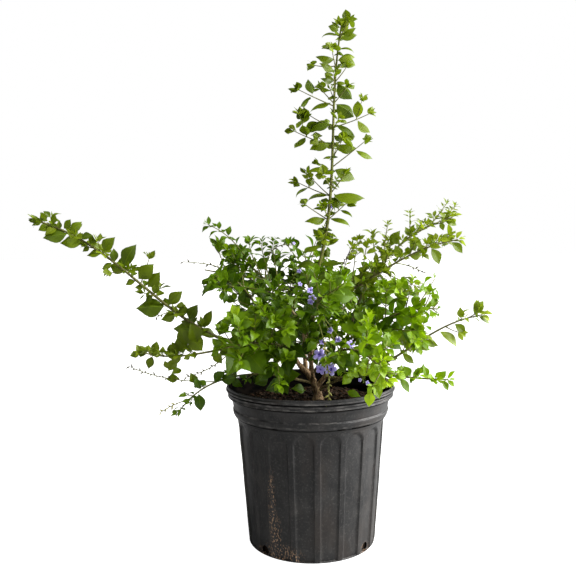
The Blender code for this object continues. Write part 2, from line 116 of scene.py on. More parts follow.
def noise(tree, place, size, stretch=EVEN, detail=4.0):
    """Noise whose lumps are about a size across, longer along an axis with a stretch over 1."""
    scaled = node(tree, "Mapping", {"Vector": place, "Scale": [1.0 / (size * s) for s in stretch]})
    return node(tree, "TexNoise", {"Vector": scaled, "Scale": 1.0, "Detail": detail})


def between(tree, value, low, high, to_low=0.0, to_high=1.0):
    """A smooth step of a value: to_low under low, to_high over high."""
    ends = {"Value": value, "From Min": low, "From Max": high, "To Min": to_low, "To Max": to_high}
    return node(tree, "MapRange", ends, interpolation_type="SMOOTHSTEP")


def patches(tree, place, size, low, high, most=1.0, stretch=EVEN, detail=4.0):
    """Soft patches where noise is over high, from 0 between them to most inside them."""
    return between(tree, noise(tree, place, size, stretch, detail), low, high, 0.0, most)


def product(tree, a, b):
    """Two values multiplied."""
    return node(tree, "Math", {0: a, 1: b}, operation="MULTIPLY")


def blend(tree, share, first, second):
    """A colour between two colours or colour sockets."""
    first, second = ((*c, 1.0) if isinstance(c, tuple) else c for c in (first, second))
    inputs = {"Factor": share, MIX_FIRST: first, MIX_SECOND: second}
    return node(tree, "Mix", inputs, MIX_RESULT, data_type="RGBA")


def ball(tree, place, centre, radii):
    """A value of 1 at a centre that fades to 0 at an egg-shaped shell round it."""
    moved = [-c / r for c, r in zip(centre, radii)]
    place = node(tree, "Mapping", {"Vector": place, "Location": moved, "Scale": [1.0 / r for r in radii]})
    return node(tree, "TexGradient", {"Vector": place}, "Fac", gradient_type="SPHERICAL")


def relief(tree, shader, heights):
    """Bump from (height socket, depth in metres) pairs, one on top of the other."""
    below = {}
    for height, depth in heights:
        bump = node(tree, "Bump", {"Strength": 1.0, "Distance": depth, "Height": height, **below})
        below = {"Normal": bump}
    wire(tree, shader, below)


# %% [markdown]
# ## Camera, light and floor
#
# The camera stands 1.17 m in front of the pot, a little over the plant's middle, and looks slightly
# down, as the photographer's did. It could be aimed by a constraint, but a written matrix keeps it
# exact. The light comes from the right: a tall white panel that the dark plastic mirrors, and a sun
# over it. A weak broad sun and a dim sky fill the shadows. The floor is a plain pale sheet. What the
# camera sees of it glows, so that it is as white as the sky, but the glow lights nothing.

# %% The camera
FOCAL_PIXELS = 705.0
IMAGE_PIXELS = 576.0
CAMERA_PLACE = (-0.035, -1.166, 0.490)
CAMERA_DOWN = 3.38
CAMERA_ROLL = -0.68

bpy.ops.object.camera_add(location=CAMERA_PLACE)
camera = bpy.context.object
camera.name = "camera"
camera.data.sensor_width = 36.0
camera.data.lens = camera.data.sensor_width * FOCAL_PIXELS / IMAGE_PIXELS
tilt = Matrix.Rotation(math.radians(90.0 - CAMERA_DOWN), 4, "X")
roll = Matrix.Rotation(math.radians(CAMERA_ROLL), 4, "Z")
camera.matrix_world = Matrix.Translation(CAMERA_PLACE) @ tilt @ roll
bpy.context.scene.camera = camera
bpy.context.scene.view_settings.view_transform = "Standard"

# %% The light
# name: azimuth it comes from, height, strength, width, colour
SUNS = {
    "key": (-25.0, 52.0, 4.3, 12.0, (1.0, 0.98, 0.95)),
    "fill": (-120.0, 40.0, 1.1, 50.0, (0.97, 0.98, 1.0)),
}
PANEL_PLACE = (1.25, -0.20, 0.92)
PANEL_SIZE = (1.8, 1.9)
PANEL_POWER = 108.0
SKY_LIGHT = 0.14
SKY_COLOUR = (0.97, 0.985, 1.0, 1.0)
WHITE = (1.0, 1.0, 1.0, 1.0)

for name, (azimuth, height, strength, width, colour) in SUNS.items():
    bpy.ops.object.light_add(type="SUN", location=(0.0, 0.0, 2.0))
    sun = bpy.context.object
    sun.name = name
    sun.data.energy = strength
    sun.data.angle = math.radians(width)
    sun.data.color = colour
    sun.rotation_euler = (math.radians(90.0 - height), 0.0, math.radians(azimuth + 90.0))

bpy.ops.object.light_add(type="AREA", location=PANEL_PLACE)
panel = bpy.context.object
panel.name = "panel"
panel.data.shape = "RECTANGLE"
panel.data.size, panel.data.size_y = PANEL_SIZE
panel.data.energy = PANEL_POWER
panel.rotation_euler = (0.0, math.radians(90.0), 0.0)
panel.visible_camera = False

world = bpy.data.worlds.new("studio")
bpy.context.scene.world = world
world.use_nodes = True
sky = world.node_tree
sky_light = sky.nodes["Background"]
wire(sky, sky_light, {"Color": SKY_COLOUR, "Strength": SKY_LIGHT})
sky_seen = node(sky, "Background", {"Color": WHITE})
shares = {"Fac": node(sky, "LightPath", {}, "Is Camera Ray"), 1: sky_light.outputs[0], 2: sky_seen}
wire(sky, sky.nodes["World Output"], {"Surface": node(sky, "MixShader", shares)})

# %% The floor
FLOOR_SIDE = 60.0
FLOOR_HEIGHT = -0.0004
PALE_GREYS = ((0.34, 0.34, 0.34), (0.37, 0.37, 0.37))

bpy.ops.mesh.primitive_plane_add(size=FLOOR_SIDE, location=(0.0, 0.0, FLOOR_HEIGHT))
floor = bpy.context.object
floor.name = "floor"
floor_finish, tree, shader, place = new_finish("pale_floor", 0.9)
pale = blend(tree, noise(tree, place, 0.5), *PALE_GREYS)
glow = node(tree, "LightPath", {}, "Is Camera Ray")
wire(tree, shader, {"Base Color": pale, "Emission Color": WHITE, "Emission Strength": glow})
floor.data.materials.append(floor_finish)

# %% [markdown]
# ## The pot
#
# The pot is blow-moulded: a thin tapering wall with a rolled lip, a skirt under it, a neck over a
# beaded shoulder, and arch-topped flutes pressed into the wall. It could be a turned profile with a
# Screw modifier. Here one disc is extruded and scaled, ring after ring, up the outside, over the lip
# and down the inside, as a potter would raise it, because every ring is then at hand for the flutes.

# %% A way to raise a turned form
def deselect_all():
    """Leaves nothing selected, so that an operator acts only on what comes next."""
    if bpy.context.object and bpy.context.object.mode == "EDIT":
        bpy.ops.object.mode_set(mode="OBJECT")
    for thing in bpy.context.selected_objects:
        thing.select_set(False)


def select_only(thing):
    """Selects one object and makes it the active one."""
    deselect_all()
    bpy.context.view_layer.objects.active = thing
    thing.select_set(True)


def apply_modifiers(thing):
    """Applies an object's modifiers in their order."""
    select_only(thing)
    for modifier in [m.name for m in thing.modifiers]:
        bpy.ops.object.modifier_apply(modifier=modifier)


def rounded(corners, steps=4):
    """A profile of (radius, height, size of the round) corners, each rounded off."""
    places = [Vector((r, z)) for r, z, _ in corners]
    profile = [places[0]]
    for before, corner, after, (_, _, size) in zip(places, places[1:], places[2:], corners[1:]):
        if size == 0.0:
            profile.append(corner)
            continue
        start = corner + (before - corner).normalized() * min(size, (before - corner).length / 2)
        end = corner + (after - corner).normalized() * min(size, (after - corner).length / 2)
        profile += bent(start, corner, end, steps)
    return profile + [places[-1]]


def bent(start, bend, end, steps=10):
    """Points of the smooth curve from a start to an end that is drawn towards a bend."""
    shares = [i / steps for i in range(steps + 1)]
    return [(1 - t) ** 2 * start + 2 * t * (1 - t) * bend + t * t * end for t in shares]


def raise_form(name, profile, sides):
    """A closed turned form: a disc extruded and scaled from each ring of the profile to the next."""
    deselect_all()
    radius, height = profile[0]
    bpy.ops.mesh.primitive_circle_add(
        vertices=sides, radius=radius, fill_type="NGON", location=(0.0, 0.0, height)
    )
    thing = bpy.context.object
    thing.name = name
    bpy.ops.object.transform_apply(location=True)
    bpy.ops.object.mode_set(mode="EDIT")
    bpy.ops.mesh.select_all(action="SELECT")
    for next_radius, next_height in profile[1:]:
        bpy.ops.mesh.extrude_region_move()
        share = next_radius / radius
        bpy.ops.transform.resize(value=(share, share, 1.0), center_override=(0.0, 0.0, height))
        bpy.ops.transform.translate(value=(0.0, 0.0, next_height - height))
        radius, height = next_radius, next_height
    bpy.ops.mesh.select_all(action="SELECT")
    bpy.ops.mesh.normals_make_consistent(inside=False)
    bpy.ops.object.mode_set(mode="OBJECT")
    return thing


# %% The pot's sizes and its body
POT_HEIGHT = 0.262
WALL = 0.003
FLUTED_WALL = 0.0056
RIM_RADIUS = 0.140
LIP_FOOT = 0.2545
SKIRT_RADIUS = 0.1365
SKIRT_FOOT = 0.2450
BAND_RADIUS = 0.130
BAND_TOP = 0.2365
LEDGE = 0.2245
BAND_FOOT = 0.2165
SHOULDER_HEIGHT = 0.2065
SHOULDER_RADIUS = 0.1215
FOOT_RADIUS = 0.1060
FOOT_ROUND = 0.005
CENTRE = 0.004
POT_SIDES = 360
WALL_RING = 0.0022
TENTH = 10000
# radius and height of a place on the outside, then corners by it: out, up and their round, in tenths of a mm
MOULDED = (
    (SHOULDER_RADIUS, SHOULDER_HEIGHT, ((3, 12, 20),)),
    (BAND_RADIUS, BAND_FOOT, ((-42, -40, 30), (-16, 10, 30))),
    (BAND_RADIUS, LEDGE, ((-8, -10, 10), (-28, 8, 10), (-18, 26, 10))),
    (BAND_RADIUS, BAND_TOP, ((-4, -10, 20), (8, 16, 10))),
    (SKIRT_RADIUS, SKIRT_FOOT, ((-30, -26, 10), (-26, -10, 6), (6, -4, 8), (8, 12, 6))),
    (SKIRT_RADIUS, SKIRT_FOOT, ((-4, 22, 8), (2, 44, 10), (12, 52, 6))),
    (SKIRT_RADIUS, LIP_FOOT, ((14, -26, 10), (-2, -14, 6), (0, -4, 4))),
    (RIM_RADIUS, LIP_FOOT, ((-4, 0, 8), (2, 16, 8))),
    (RIM_RADIUS, POT_HEIGHT, ((-2, -42, 10), (-20, -30, 10), (-13, 0, 20), (-44, 0, 20))),
    (RIM_RADIUS, LIP_FOOT, ((-54, 0, 30),)),
)


def wall_radius(height):
    """The radius of the pot's plain wall."""
    share = (height - FOOT_ROUND) / (SHOULDER_HEIGHT - FOOT_ROUND)
    return FOOT_RADIUS + (SHOULDER_RADIUS - FOOT_RADIUS) * share


profile = [(CENTRE, 0.0, 0.0), (FOOT_RADIUS - 0.0012, 0.0, 0.002), (FOOT_RADIUS, FOOT_ROUND, 0.0)]
rings = round((SHOULDER_HEIGHT - FOOT_ROUND) / WALL_RING)
for i in range(1, rings):
    height = FOOT_ROUND + (SHOULDER_HEIGHT - FOOT_ROUND) * i / rings
    profile.append((wall_radius(height), height, 0.0))
for radius, height, corners in MOULDED:
    profile += [(radius + out / TENTH, height + up / TENTH, size / TENTH) for out, up, size in corners]
profile += [
    (SKIRT_RADIUS - 1.3 * WALL, SKIRT_FOOT + WALL, 0.003),
    (BAND_RADIUS - 1.3 * WALL, BAND_TOP + WALL, 0.003),
    (BAND_RADIUS - 1.8 * WALL, BAND_FOOT + WALL, 0.003),
    (SHOULDER_RADIUS - FLUTED_WALL, SHOULDER_HEIGHT + WALL, 0.003),
    (wall_radius(WALL) - FLUTED_WALL, WALL, 0.002),
    (CENTRE, WALL, 0.0),
]
pot = raise_form("pot_body", rounded(profile), POT_SIDES)

# %% [markdown]
# The flutes are pressed in by a Displace modifier that works along the normals. A vertex group tells it
# how far each point goes: fully inside an arch's outline, not at all outside it, with a soft edge. A
# Boolean cut would leave a hard edge that a moulded wall doesn't have. A second Displace ripples the
# wall a little, as thin plastic is. The four drains are cut last, at the feet of flutes.

# %% The pot's flutes and drains
POT_TURN = 3.0
FLUTES = 18
FLUTE_WIDTH = 0.031
FLUTE_TOP = 0.203
FLUTE_DEPTH = 0.0028
FLUTE_EDGE = 0.0026
RIPPLE = 0.0011
RIPPLE_SIZE = 0.035
DRAIN_FLUTES = (2, 7, 11, 16)
DRAIN_RADIUS = 0.0074
DRAIN_SIDES = 32
SMOOTH_ANGLE = 40.0


def displace(thing, name, strength, group="", size=None, direction="NORMAL"):
    """Adds a Displace modifier to a vertex group or the whole, through noise where a size is given."""
    push = thing.modifiers.new(name, "DISPLACE")
    push.strength, push.vertex_group, push.direction = strength, group, direction
    if size is None:
        push.mid_level = 0.0
    else:
        push.texture = bpy.data.textures.new(name, "CLOUDS")
        push.texture.noise_scale = size
        push.texture_coords = "LOCAL"


def group_above(thing, name, height):
    """A vertex group of all that is over a height."""
    group = thing.vertex_groups.new(name=name)
    group.add([v.index for v in thing.data.vertices if v.co.z > height], 1.0, "REPLACE")


def in_flute(point):
    """How far inside a flute's outline a point of the wall is, from 0 to 1."""
    radius = math.hypot(point.x, point.y)
    if not 0.0015 < point.z < FLUTE_TOP + FLUTE_EDGE or radius < wall_radius(point.z) - 0.5 * WALL:
        return 0.0
    step = 2.0 * math.pi / FLUTES
    angle = (math.atan2(point.y, point.x) - math.radians(POT_TURN) + step / 2) % step - step / 2
    half = FLUTE_WIDTH / 2
    over = point.z - (FLUTE_TOP - half)
    if over > 0.0:
        depth = half - math.hypot(radius * angle, over)
    else:
        depth = half * (1.0 + 0.14 * over / (FLUTE_TOP - half)) - abs(radius * angle)
    share = min(max(0.5 + depth / FLUTE_EDGE, 0.0), 1.0)
    return share * share * (3.0 - 2.0 * share)


pressed = pot.vertex_groups.new(name="pressed")
for vertex in pot.data.vertices:
    share = in_flute(vertex.co)
    if share > 0.0:
        pressed.add([vertex.index], share, "REPLACE")
group_above(pot, "rippled", FOOT_ROUND)
displace(pot, "press", -FLUTE_DEPTH, "pressed")
displace(pot, "ripple", RIPPLE, "rippled", RIPPLE_SIZE)
apply_modifiers(pot)

deselect_all()
for flute in DRAIN_FLUTES:
    azimuth = math.radians(POT_TURN + 360.0 * flute / FLUTES)
    out = Vector((math.cos(azimuth), math.sin(azimuth), 0.0))
    bpy.ops.mesh.primitive_cylinder_add(
        vertices=DRAIN_SIDES, radius=DRAIN_RADIUS, depth=4 * DRAIN_RADIUS,
        location=FOOT_RADIUS * out + 1.1 * DRAIN_RADIUS * UP, rotation=(0.0, math.radians(90.0), azimuth),
    )
    punch = bpy.context.object
    cut = pot.modifiers.new("drain", "BOOLEAN")
    cut.operation = "DIFFERENCE"
    cut.object = punch
    apply_modifiers(pot)
    bpy.data.objects.remove(punch)
select_only(pot)
bpy.ops.object.shade_smooth_by_angle(angle=math.radians(SMOOTH_ANGLE))

# %% [markdown]
# The plastic is charcoal and matt. Dust lies on it in faint upright streaks, blotches and fine specks,
# and pale lines on the ledges are partly dust and partly painted highlights along the ridges. Painted
# shade darkens the grooves in dark lines. Brown dirt has run down the front left in a thin trail and
# dried low down. The dirt is noise, cut off by soft balls so that it stays in its place. The inside and
# the grooves have no dust, and their faces have a darker finish of their own with no gloss, which is
# painted shade.

# %% The pot's finish
CHARCOAL = (0.0062, 0.0062, 0.0064)
DUSTY = (0.0215, 0.0205, 0.0195)
PALE_DUST = (0.16, 0.15, 0.14)
# Painted shade for the dark lines under the ledges
GROOVE_SHADE = (0.003, 0.003, 0.003)
BROWN_TINT = (0.022, 0.017, 0.014)
BROWN_DIRT = (0.20, 0.125, 0.075)
# Painted shade: the darker colours of the inside and the grooves
INNER_DARK = (0.0022, 0.0022, 0.0022)
INNER_LIGHT = (0.007, 0.0055, 0.0045)
# Where the dirt is: the middle and the radii of each soft ball
DIRT = (
    ((-0.0645, -0.097, 0.092), (0.0085, 0.04, 0.070)),
    ((-0.0590, -0.095, 0.040), (0.0130, 0.04, 0.045)),
    ((-0.0500, -0.092, 0.010), (0.0420, 0.05, 0.024)),
    ((-0.0300, -0.102, 0.006), (0.0120, 0.03, 0.011)),
    ((0.0830, -0.0650, 0.006), (0.0150, 0.02, 0.013)),
    ((-0.0800, -0.0720, 0.005), (0.0160, 0.02, 0.012)),
)
# The middle height and half the width of each dark line of painted shade under a ledge
DARK_LINES = ((BAND_FOOT - 0.0045, 0.0030), (SKIRT_FOOT - 0.0024, 0.0022), (LIP_FOOT - 0.0018, 0.0018))
# Heights between which a groove takes the inside's darker finish, as painted shade
SHADED_GROOVES = (
    (BAND_FOOT - 0.0050, BAND_FOOT - 0.0034),
    (SKIRT_FOOT - 0.0027, SKIRT_FOOT - 0.0006),
    (LIP_FOOT - 0.0016, LIP_FOOT - 0.0001),
)
# Heights of pale lines on the ledges: partly dust, partly painted highlights along the ridges
LEDGES = (
    BAND_FOOT - 0.0005, LEDGE + 0.0002, SKIRT_FOOT + 0.0012, SKIRT_FOOT + 0.0054, LIP_FOOT + 0.0014,
)

plastic, tree, shader, place = new_finish("charcoal_plastic", 0.52, 0.26)
streaks = patches(tree, place, 0.010, 0.42, 0.72, 1.0, (1.0, 1.0, 7.0))
blotches = patches(tree, place, 0.06, 0.40, 0.66)
colour = blend(tree, product(tree, streaks, blotches), CHARCOAL, DUSTY)
colour = blend(tree, patches(tree, place, 0.025, 0.42, 0.80, 0.70, detail=8.0), colour, DUSTY)
colour = blend(tree, patches(tree, place, 0.003, 0.50, 0.78, 0.16, detail=10.0), colour, PALE_DUST)
colour = blend(tree, patches(tree, place, 0.035, 0.45, 0.75, 0.6, (1.0, 1.0, 2.5), 6.0), colour, BROWN_TINT)
# Painted shade: a dark line under each ledge
for height, half in DARK_LINES:
    shade_line = ball(tree, place, (0.0, 0.0, height), (0.50, 0.50, half))
    colour = blend(tree, between(tree, shade_line, 0.0, 0.4), colour, GROOVE_SHADE)
# Pale lines on the ledges: partly dust, partly painted highlights on the ridges
worn_and_highlit = patches(tree, place, 0.006, 0.42, 0.70, 0.55, (2.5, 2.5, 1.0), 10.0)
for height in LEDGES:
    ledge = ball(tree, place, (-0.22, -0.20, height), (0.50, 0.50, 0.0022))
    colour = blend(tree, product(tree, between(tree, ledge, 0.0, 0.6), worn_and_highlit), colour, PALE_DUST)
flecks = patches(tree, place, 0.0019, 0.53, 0.62, 1.0, (1.0, 1.0, 2.0), 8.0)
for centre, radii in DIRT:
    splash = between(tree, ball(tree, place, centre, radii), 0.0, 0.7)
    colour = blend(tree, product(tree, splash, flecks), colour, BROWN_DIRT)
wire(tree, shader, {"Base Color": colour, "Roughness": between(tree, blotches, 0.0, 1.0, 0.40, 0.52)})
relief(tree, shader, [(streaks, 0.0001), (noise(tree, place, 0.0012, detail=2.0), 0.00006)])

# A darker copy of the plastic with no gloss, for the inside and the grooves: painted shade
painted_shade_plastic, tree, shader, place = new_finish("inner_plastic_painted_shade", 0.6, 0.0)
damp = patches(tree, place, 0.02, 0.4, 0.7, 1.0, (1.0, 1.0, 0.5), 6.0)
wire(tree, shader, {"Base Color": blend(tree, damp, INNER_DARK, INNER_LIGHT)})
relief(tree, shader, [(noise(tree, place, 0.003), 0.0001)])


def hand_over(thing, nodes, finishes):
    """Gives a piece its finishes, lets it ride on the plant, and hides the nodes that it stands for."""
    for finish in finishes:
        thing.data.materials.append(finish)
    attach(thing, "root")
    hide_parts(*nodes)
    print(f"{thing.name}: {sum(len(face.vertices) - 2 for face in thing.data.polygons)} triangles")


hand_over(pot, ["pot"], [plastic, painted_shade_plastic])
# Painted shade: the inside wall and the grooves take the darker finish
for face in pot.data.polygons:
    height = face.center.z
    outward = face.normal.x * face.center.x + face.normal.y * face.center.y
    inside_wall = outward < 0.0 and WALL < height < POT_HEIGHT - 0.003
    if inside_wall or any(low < height < high for low, high in SHADED_GROOVES):
        face.material_index = 1

# %% [markdown]
# ## The soil
#
# Potting mix is dark, crumbly and full of bark chips. Its surface is a raised disc made lumpy by two
# Displace modifiers. The crumbs are about a thousand small boxes, each with its corners moved, joined
# into one mesh, since as many separate objects would be slow.

# %% The soil's body
SOIL_TOP = 0.234
SOIL_DIP = 0.003
SOIL_GAP = 0.0006
SOIL_RING = 0.0035
SOIL_SIDES = 150
# name: height and size of its lumps
LUMPS = {"heaps": (0.008, 0.030), "clods": (0.004, 0.007)}

soil_radius = BAND_RADIUS - 1.8 * WALL - SOIL_GAP
soil_edge = SOIL_TOP - SOIL_DIP
profile = [
    (CENTRE, WALL + SOIL_GAP),
    (wall_radius(WALL) - FLUTED_WALL - SOIL_GAP, WALL + SOIL_GAP),
    (SHOULDER_RADIUS - FLUTED_WALL - SOIL_GAP, SHOULDER_HEIGHT + WALL),
]
count = round(soil_radius / SOIL_RING)
for i in range(count):
    profile.append((soil_radius * (1 - i / count), soil_edge + SOIL_DIP * (i / count) ** 0.5))
soil = raise_form("soil_bed", profile, SOIL_SIDES)
group_above(soil, "top", soil_edge - 0.001)
for name, (height, size) in LUMPS.items():
    displace(soil, name, height, "top", size, "Z")
apply_modifiers(soil)


# %% Joined meshes from arrays
class Pile:
    """Shapes gathered into one mesh: their points, their faces and each face's finish."""

    def __init__(self):
        self.points, self.faces, self.looks, self.count = [], [], [], 0

    def add(self, points, faces, looks):
        """Adds one shape. Its faces count from its own first point."""
        self.points.append(points)
        self.faces.extend(tuple(self.count + corner for corner in face) for face in faces)
        self.looks.extend(looks)
        self.count += len(points)

    def piece(self, name, finishes, slot, nodes):
        """The joined mesh as an object that rides on the plant and stands for some nodes."""
        mesh = bpy.data.meshes.new(name)
        mesh.from_pydata(np.concatenate(self.points).tolist(), [], self.faces)
        thing = bpy.data.objects.new(name, mesh)
        bpy.context.scene.collection.objects.link(thing)
        hand_over(thing, nodes, finishes)
        mesh.polygons.foreach_set("material_index", self.looks)
        mesh.shade_smooth()


# %% The crumbs
CRUMBS = 1100
CRUMB_SPREAD = 0.97
CRUMB_LOOKS = 3
CRUMB_SIDES = ((0.8, 1.8), (0.6, 1.0), (0.25, 0.6))
CRUMB_SIZES = (0.0012, 0.0016, 0.0022, 0.0032)
CRUMB_FACES = ((0, 3, 2, 1), (4, 5, 6, 7), (0, 1, 5, 4), (1, 2, 6, 5), (2, 3, 7, 6), (3, 0, 4, 7))
CORNERS = np.array([(x, y, z) for z in (-1, 1) for x, y in ((-1, -1), (1, -1), (1, 1), (-1, 1))], float)

rng = random.Random(5)
soil_tree = BVHTree.FromPolygons(
    [v.co.copy() for v in soil.data.vertices], [tuple(p.vertices) for p in soil.data.polygons]
)
crumbs = Pile()
for _ in range(CRUMBS):
    distance = soil_radius * CRUMB_SPREAD * math.sqrt(rng.random())
    angle = rng.uniform(0.0, 2.0 * math.pi)
    above = Vector((distance * math.cos(angle), distance * math.sin(angle), POT_HEIGHT))
    rest = soil_tree.ray_cast(above, -UP)[0]
    size = rng.choice(CRUMB_SIZES)
    sides = [size * rng.uniform(*ends) for ends in CRUMB_SIDES]
    shape = CORNERS * sides * [[rng.uniform(0.6, 1.15)] for _ in range(8)]
    spin = Matrix.Rotation(rng.uniform(0, 6.3), 3, "Z") @ Matrix.Rotation(rng.uniform(-0.5, 0.5), 3, "X")
    points = shape @ np.array(spin).T + np.array(rest + UP * size * 0.2)
    crumbs.add(points, CRUMB_FACES, [rng.randrange(CRUMB_LOOKS)] * len(CRUMB_FACES))


# %% The soil's finishes
def earthy(name, dark, light, size):
    """A dull crumbly finish between two colours."""
    made, tree, shader, place = new_finish(name, 0.95, 0.1)
    mottle = patches(tree, place, size, 0.35, 0.65, detail=6.0)
    wire(tree, shader, {"Base Color": blend(tree, mottle, dark, light)})
    relief(tree, shader, [(noise(tree, place, size / 3), size / 8)])
    return made


damp_soil = earthy("damp_soil", (0.003, 0.0016, 0.0008), (0.012, 0.0065, 0.003), 0.006)
hand_over(soil, ["soil"], [damp_soil])
crumb_finishes = [
    earthy("dark_crumb", (0.004, 0.002, 0.001), (0.014, 0.008, 0.004), 0.002),
    earthy("bark_chip", (0.010, 0.005, 0.002), (0.040, 0.018, 0.008), 0.002),
    earthy("pale_crumb", (0.016, 0.010, 0.006), (0.055, 0.034, 0.020), 0.002),
]
crumbs.piece("soil_crumbs", crumb_finishes, "potting_soil", ["soil"])

# %% [markdown]
# ## Where the wood runs
#
# The trunk, its stems and the shoots follow one rule. A limb starts at a place along its parent, keeps
# to one azimuth, and its slope runs smoothly through three rise angles. Points along it come from
# adding up short steps. The numbers are the frame's own, so the wood made here covers its solids.

# %% The rule of a limb
LIMB_STEP = 0.012
STEM_STEP = 0.006
MM = 1000


def rise_at(rises, t):
    """The rise angle at a place from 0 to 1, on the smooth curve through three angles."""
    first, middle, last = rises
    return first * (1 - t) * (1 - 2 * t) + 4 * middle * t * (1 - t) + last * t * (2 * t - 1)


def heading(azimuth, rise):
    """A unit vector along an azimuth and a rise angle."""
    a, r = math.radians(azimuth), math.radians(rise)
    return Vector((math.cos(r) * math.cos(a), math.cos(r) * math.sin(a), math.sin(r)))


def limb_path(start, azimuth, rises, length):
    """Evenly spaced points of a limb whose slope passes through three rise angles."""
    steps = max(4, round(length / LIMB_STEP))
    points = [Vector(start)]
    for i in range(steps):
        points.append(points[-1] + heading(azimuth, rise_at(rises, (i + 0.5) / steps)) * length / steps)
    return points


def in_metres(numbers):
    """A place that is listed in millimetres."""
    return Vector([n / MM for n in numbers])


def turned(axis, degrees):
    """A turn about an axis."""
    return Matrix.Rotation(math.radians(degrees), 3, axis)


def along(points, place):
    """The point at a place from 0 to 1 along evenly spaced points, and the direction there."""
    x = min(max(place, 0.0), 1.0) * (len(points) - 1)
    i = min(int(x), len(points) - 2)
    return points[i].lerp(points[i + 1], x - i), (points[i + 1] - points[i]).normalized()


def part_of(points, start, end, step):
    """Evenly spaced points, about a step apart, between two places along a path."""
    length = (points[1] - points[0]).length * (len(points) - 1) * (end - start)
    count = max(2, round(length / step))
    return [along(points, start + (end - start) * i / count)[0] for i in range(count + 1)]


def tapered(points, radii):
    """A radius for each point, from the first radius to the last."""
    last = len(points) - 1
    return [radii[0] + (radii[1] - radii[0]) * i / last for i in range(last + 1)]


# %% The limbs and the shoots
TRUNK_X = 0.013
TRUNK_RADII = (0.0068, 0.0048)
TRUNK_LENGTH = 0.057
TRUNK_RISES = (76, 57, 38)
FLARE_LENGTH = 0.012
FLARE = 1.75
FLARE_SHARES = (0.0, 0.2, 0.4, 0.6, 0.8)

# name: parent, place along the parent from 0 to 1, azimuth, three rise angles, length, two radii
STEMS = {
    "stem_left": ("trunk", 1.00, 184, (62, 50, 38), 0.080, (0.0040, 0.0030)),
    "stem_centre": ("trunk", 0.74, 30, (96, 88, 82), 0.120, (0.0038, 0.0028)),
    "stem_right": ("trunk", 0.15, 352, (52, 60, 66), 0.115, (0.0042, 0.0028)),
    "stem_front": ("trunk", 0.33, 262, (44, 55, 62), 0.085, (0.0034, 0.0026)),
    "stem_back": ("trunk", 0.53, 84, (46, 58, 64), 0.095, (0.0036, 0.0026)),
}

# name: parent, place along it, azimuth, three rise angles, length, bare length
SHOOTS = {
    "leader": ("stem_centre", 1.0, 8, (65, 87, 80), 0.442, 0.020),
    "long_left": ("stem_left", 0.45, 184, (-9, 40, 18), 0.455, 0.060),
    "low_left": ("stem_left", 0.15, 194, (41, -7, 17), 0.248, 0.045),
    "trailing_left": ("trunk", 0.29, 196, (18, -1, -50), 0.235, 0.040),
    "upper_left": ("stem_centre", 0.62, 166, (50, 44, 18), 0.228, 0.036),
    "mid_left": ("stem_left", 1.0, 200, (63, 52, 6), 0.143, 0.016),
    "front_left": ("stem_front", 0.60, 228, (36, 14, -4), 0.185, 0.028),
    "front": ("stem_front", 1.0, 277, (62, 40, 8), 0.140, 0.020),
    "front_right": ("stem_front", 0.30, 306, (44, 12, -52), 0.190, 0.040),
    "mid_right": ("stem_right", 0.72, 334, (25, 32, -6), 0.165, 0.022),
    "low_right": ("stem_right", 0.20, 346, (-8, 34, 12), 0.268, 0.050),
    "trailing_right": ("trunk", 0.03, 334, (41, 4, 3), 0.215, 0.055),
    "upper_right": ("stem_centre", 0.84, 352, (16, 32, 10), 0.262, 0.035),
    "upper_right_back": ("stem_right", 1.0, 14, (78, 46, 16), 0.262, 0.030),
    "back_top": ("stem_back", 1.0, 94, (66, 48, 22), 0.165, 0.025),
    "back_left": ("stem_back", 0.72, 134, (40, 32, 8), 0.230, 0.045),
    "back_right": ("stem_back", 0.50, 50, (38, 30, 6), 0.230, 0.045),
    "back_low": ("stem_back", 0.24, 98, (34, 10, -8), 0.195, 0.045),
}

ground = Vector((TRUNK_X, 0.0, SOIL_TOP - 0.001))
crown = limb_path(ground + FLARE_LENGTH * UP, 180, TRUNK_RISES, TRUNK_LENGTH)
flare = [ground + share * FLARE_LENGTH * UP for share in FLARE_SHARES]
flare_radii = [TRUNK_RADII[0] * (1 + (FLARE - 1) * (1 - share) ** 2) for share in FLARE_SHARES]
paths = {"trunk": crown}
wood_limbs = {"trunk": (flare + crown, flare_radii + tapered(crown, TRUNK_RADII))}
for name, (parent, place, azimuth, rises, length, radii) in STEMS.items():
    paths[name] = limb_path(along(paths[parent], place)[0], azimuth, rises, length)
    wood_limbs[name] = (paths[name], tapered(paths[name], radii))

BOUGH_RADII = (0.0028, 0.0022)
# Where the photograph shows a stem's tip a little further in than its solid's
TRIMMED = {"upper_left": 0.82}
bough_limbs, stems = {}, {}
for name, (parent, place, azimuth, rises, length, bare) in SHOOTS.items():
    whole = limb_path(along(paths[parent], place)[0], azimuth, rises, length)
    whole.append(2 * whole[-1] - whole[-2])
    foot = bare / (length + (whole[1] - whole[0]).length)
    bough = part_of(whole, 0.0, foot, STEM_STEP)
    bough_limbs["bough_" + name] = (bough, tapered(bough, BOUGH_RADII))
    stems[name] = part_of(whole, foot, TRIMMED.get(name, 1.0), STEM_STEP)
print(f"{len(wood_limbs)} stems and {len(stems)} shoots")

# %% [markdown]
# ## Trunk, stems and boughs
#
# Each limb is a curve with a round bevel that follows its radii, turned into a mesh. A voxel remesh
# grows the joined limbs together at their forks, as real wood does, and two Displace modifiers raise
# the bark: slow swellings, and fine ridges. The boughs are younger and smoother than the trunk.

# %% The wood
BEVEL_STEPS = 4
SMOOTHINGS = 4


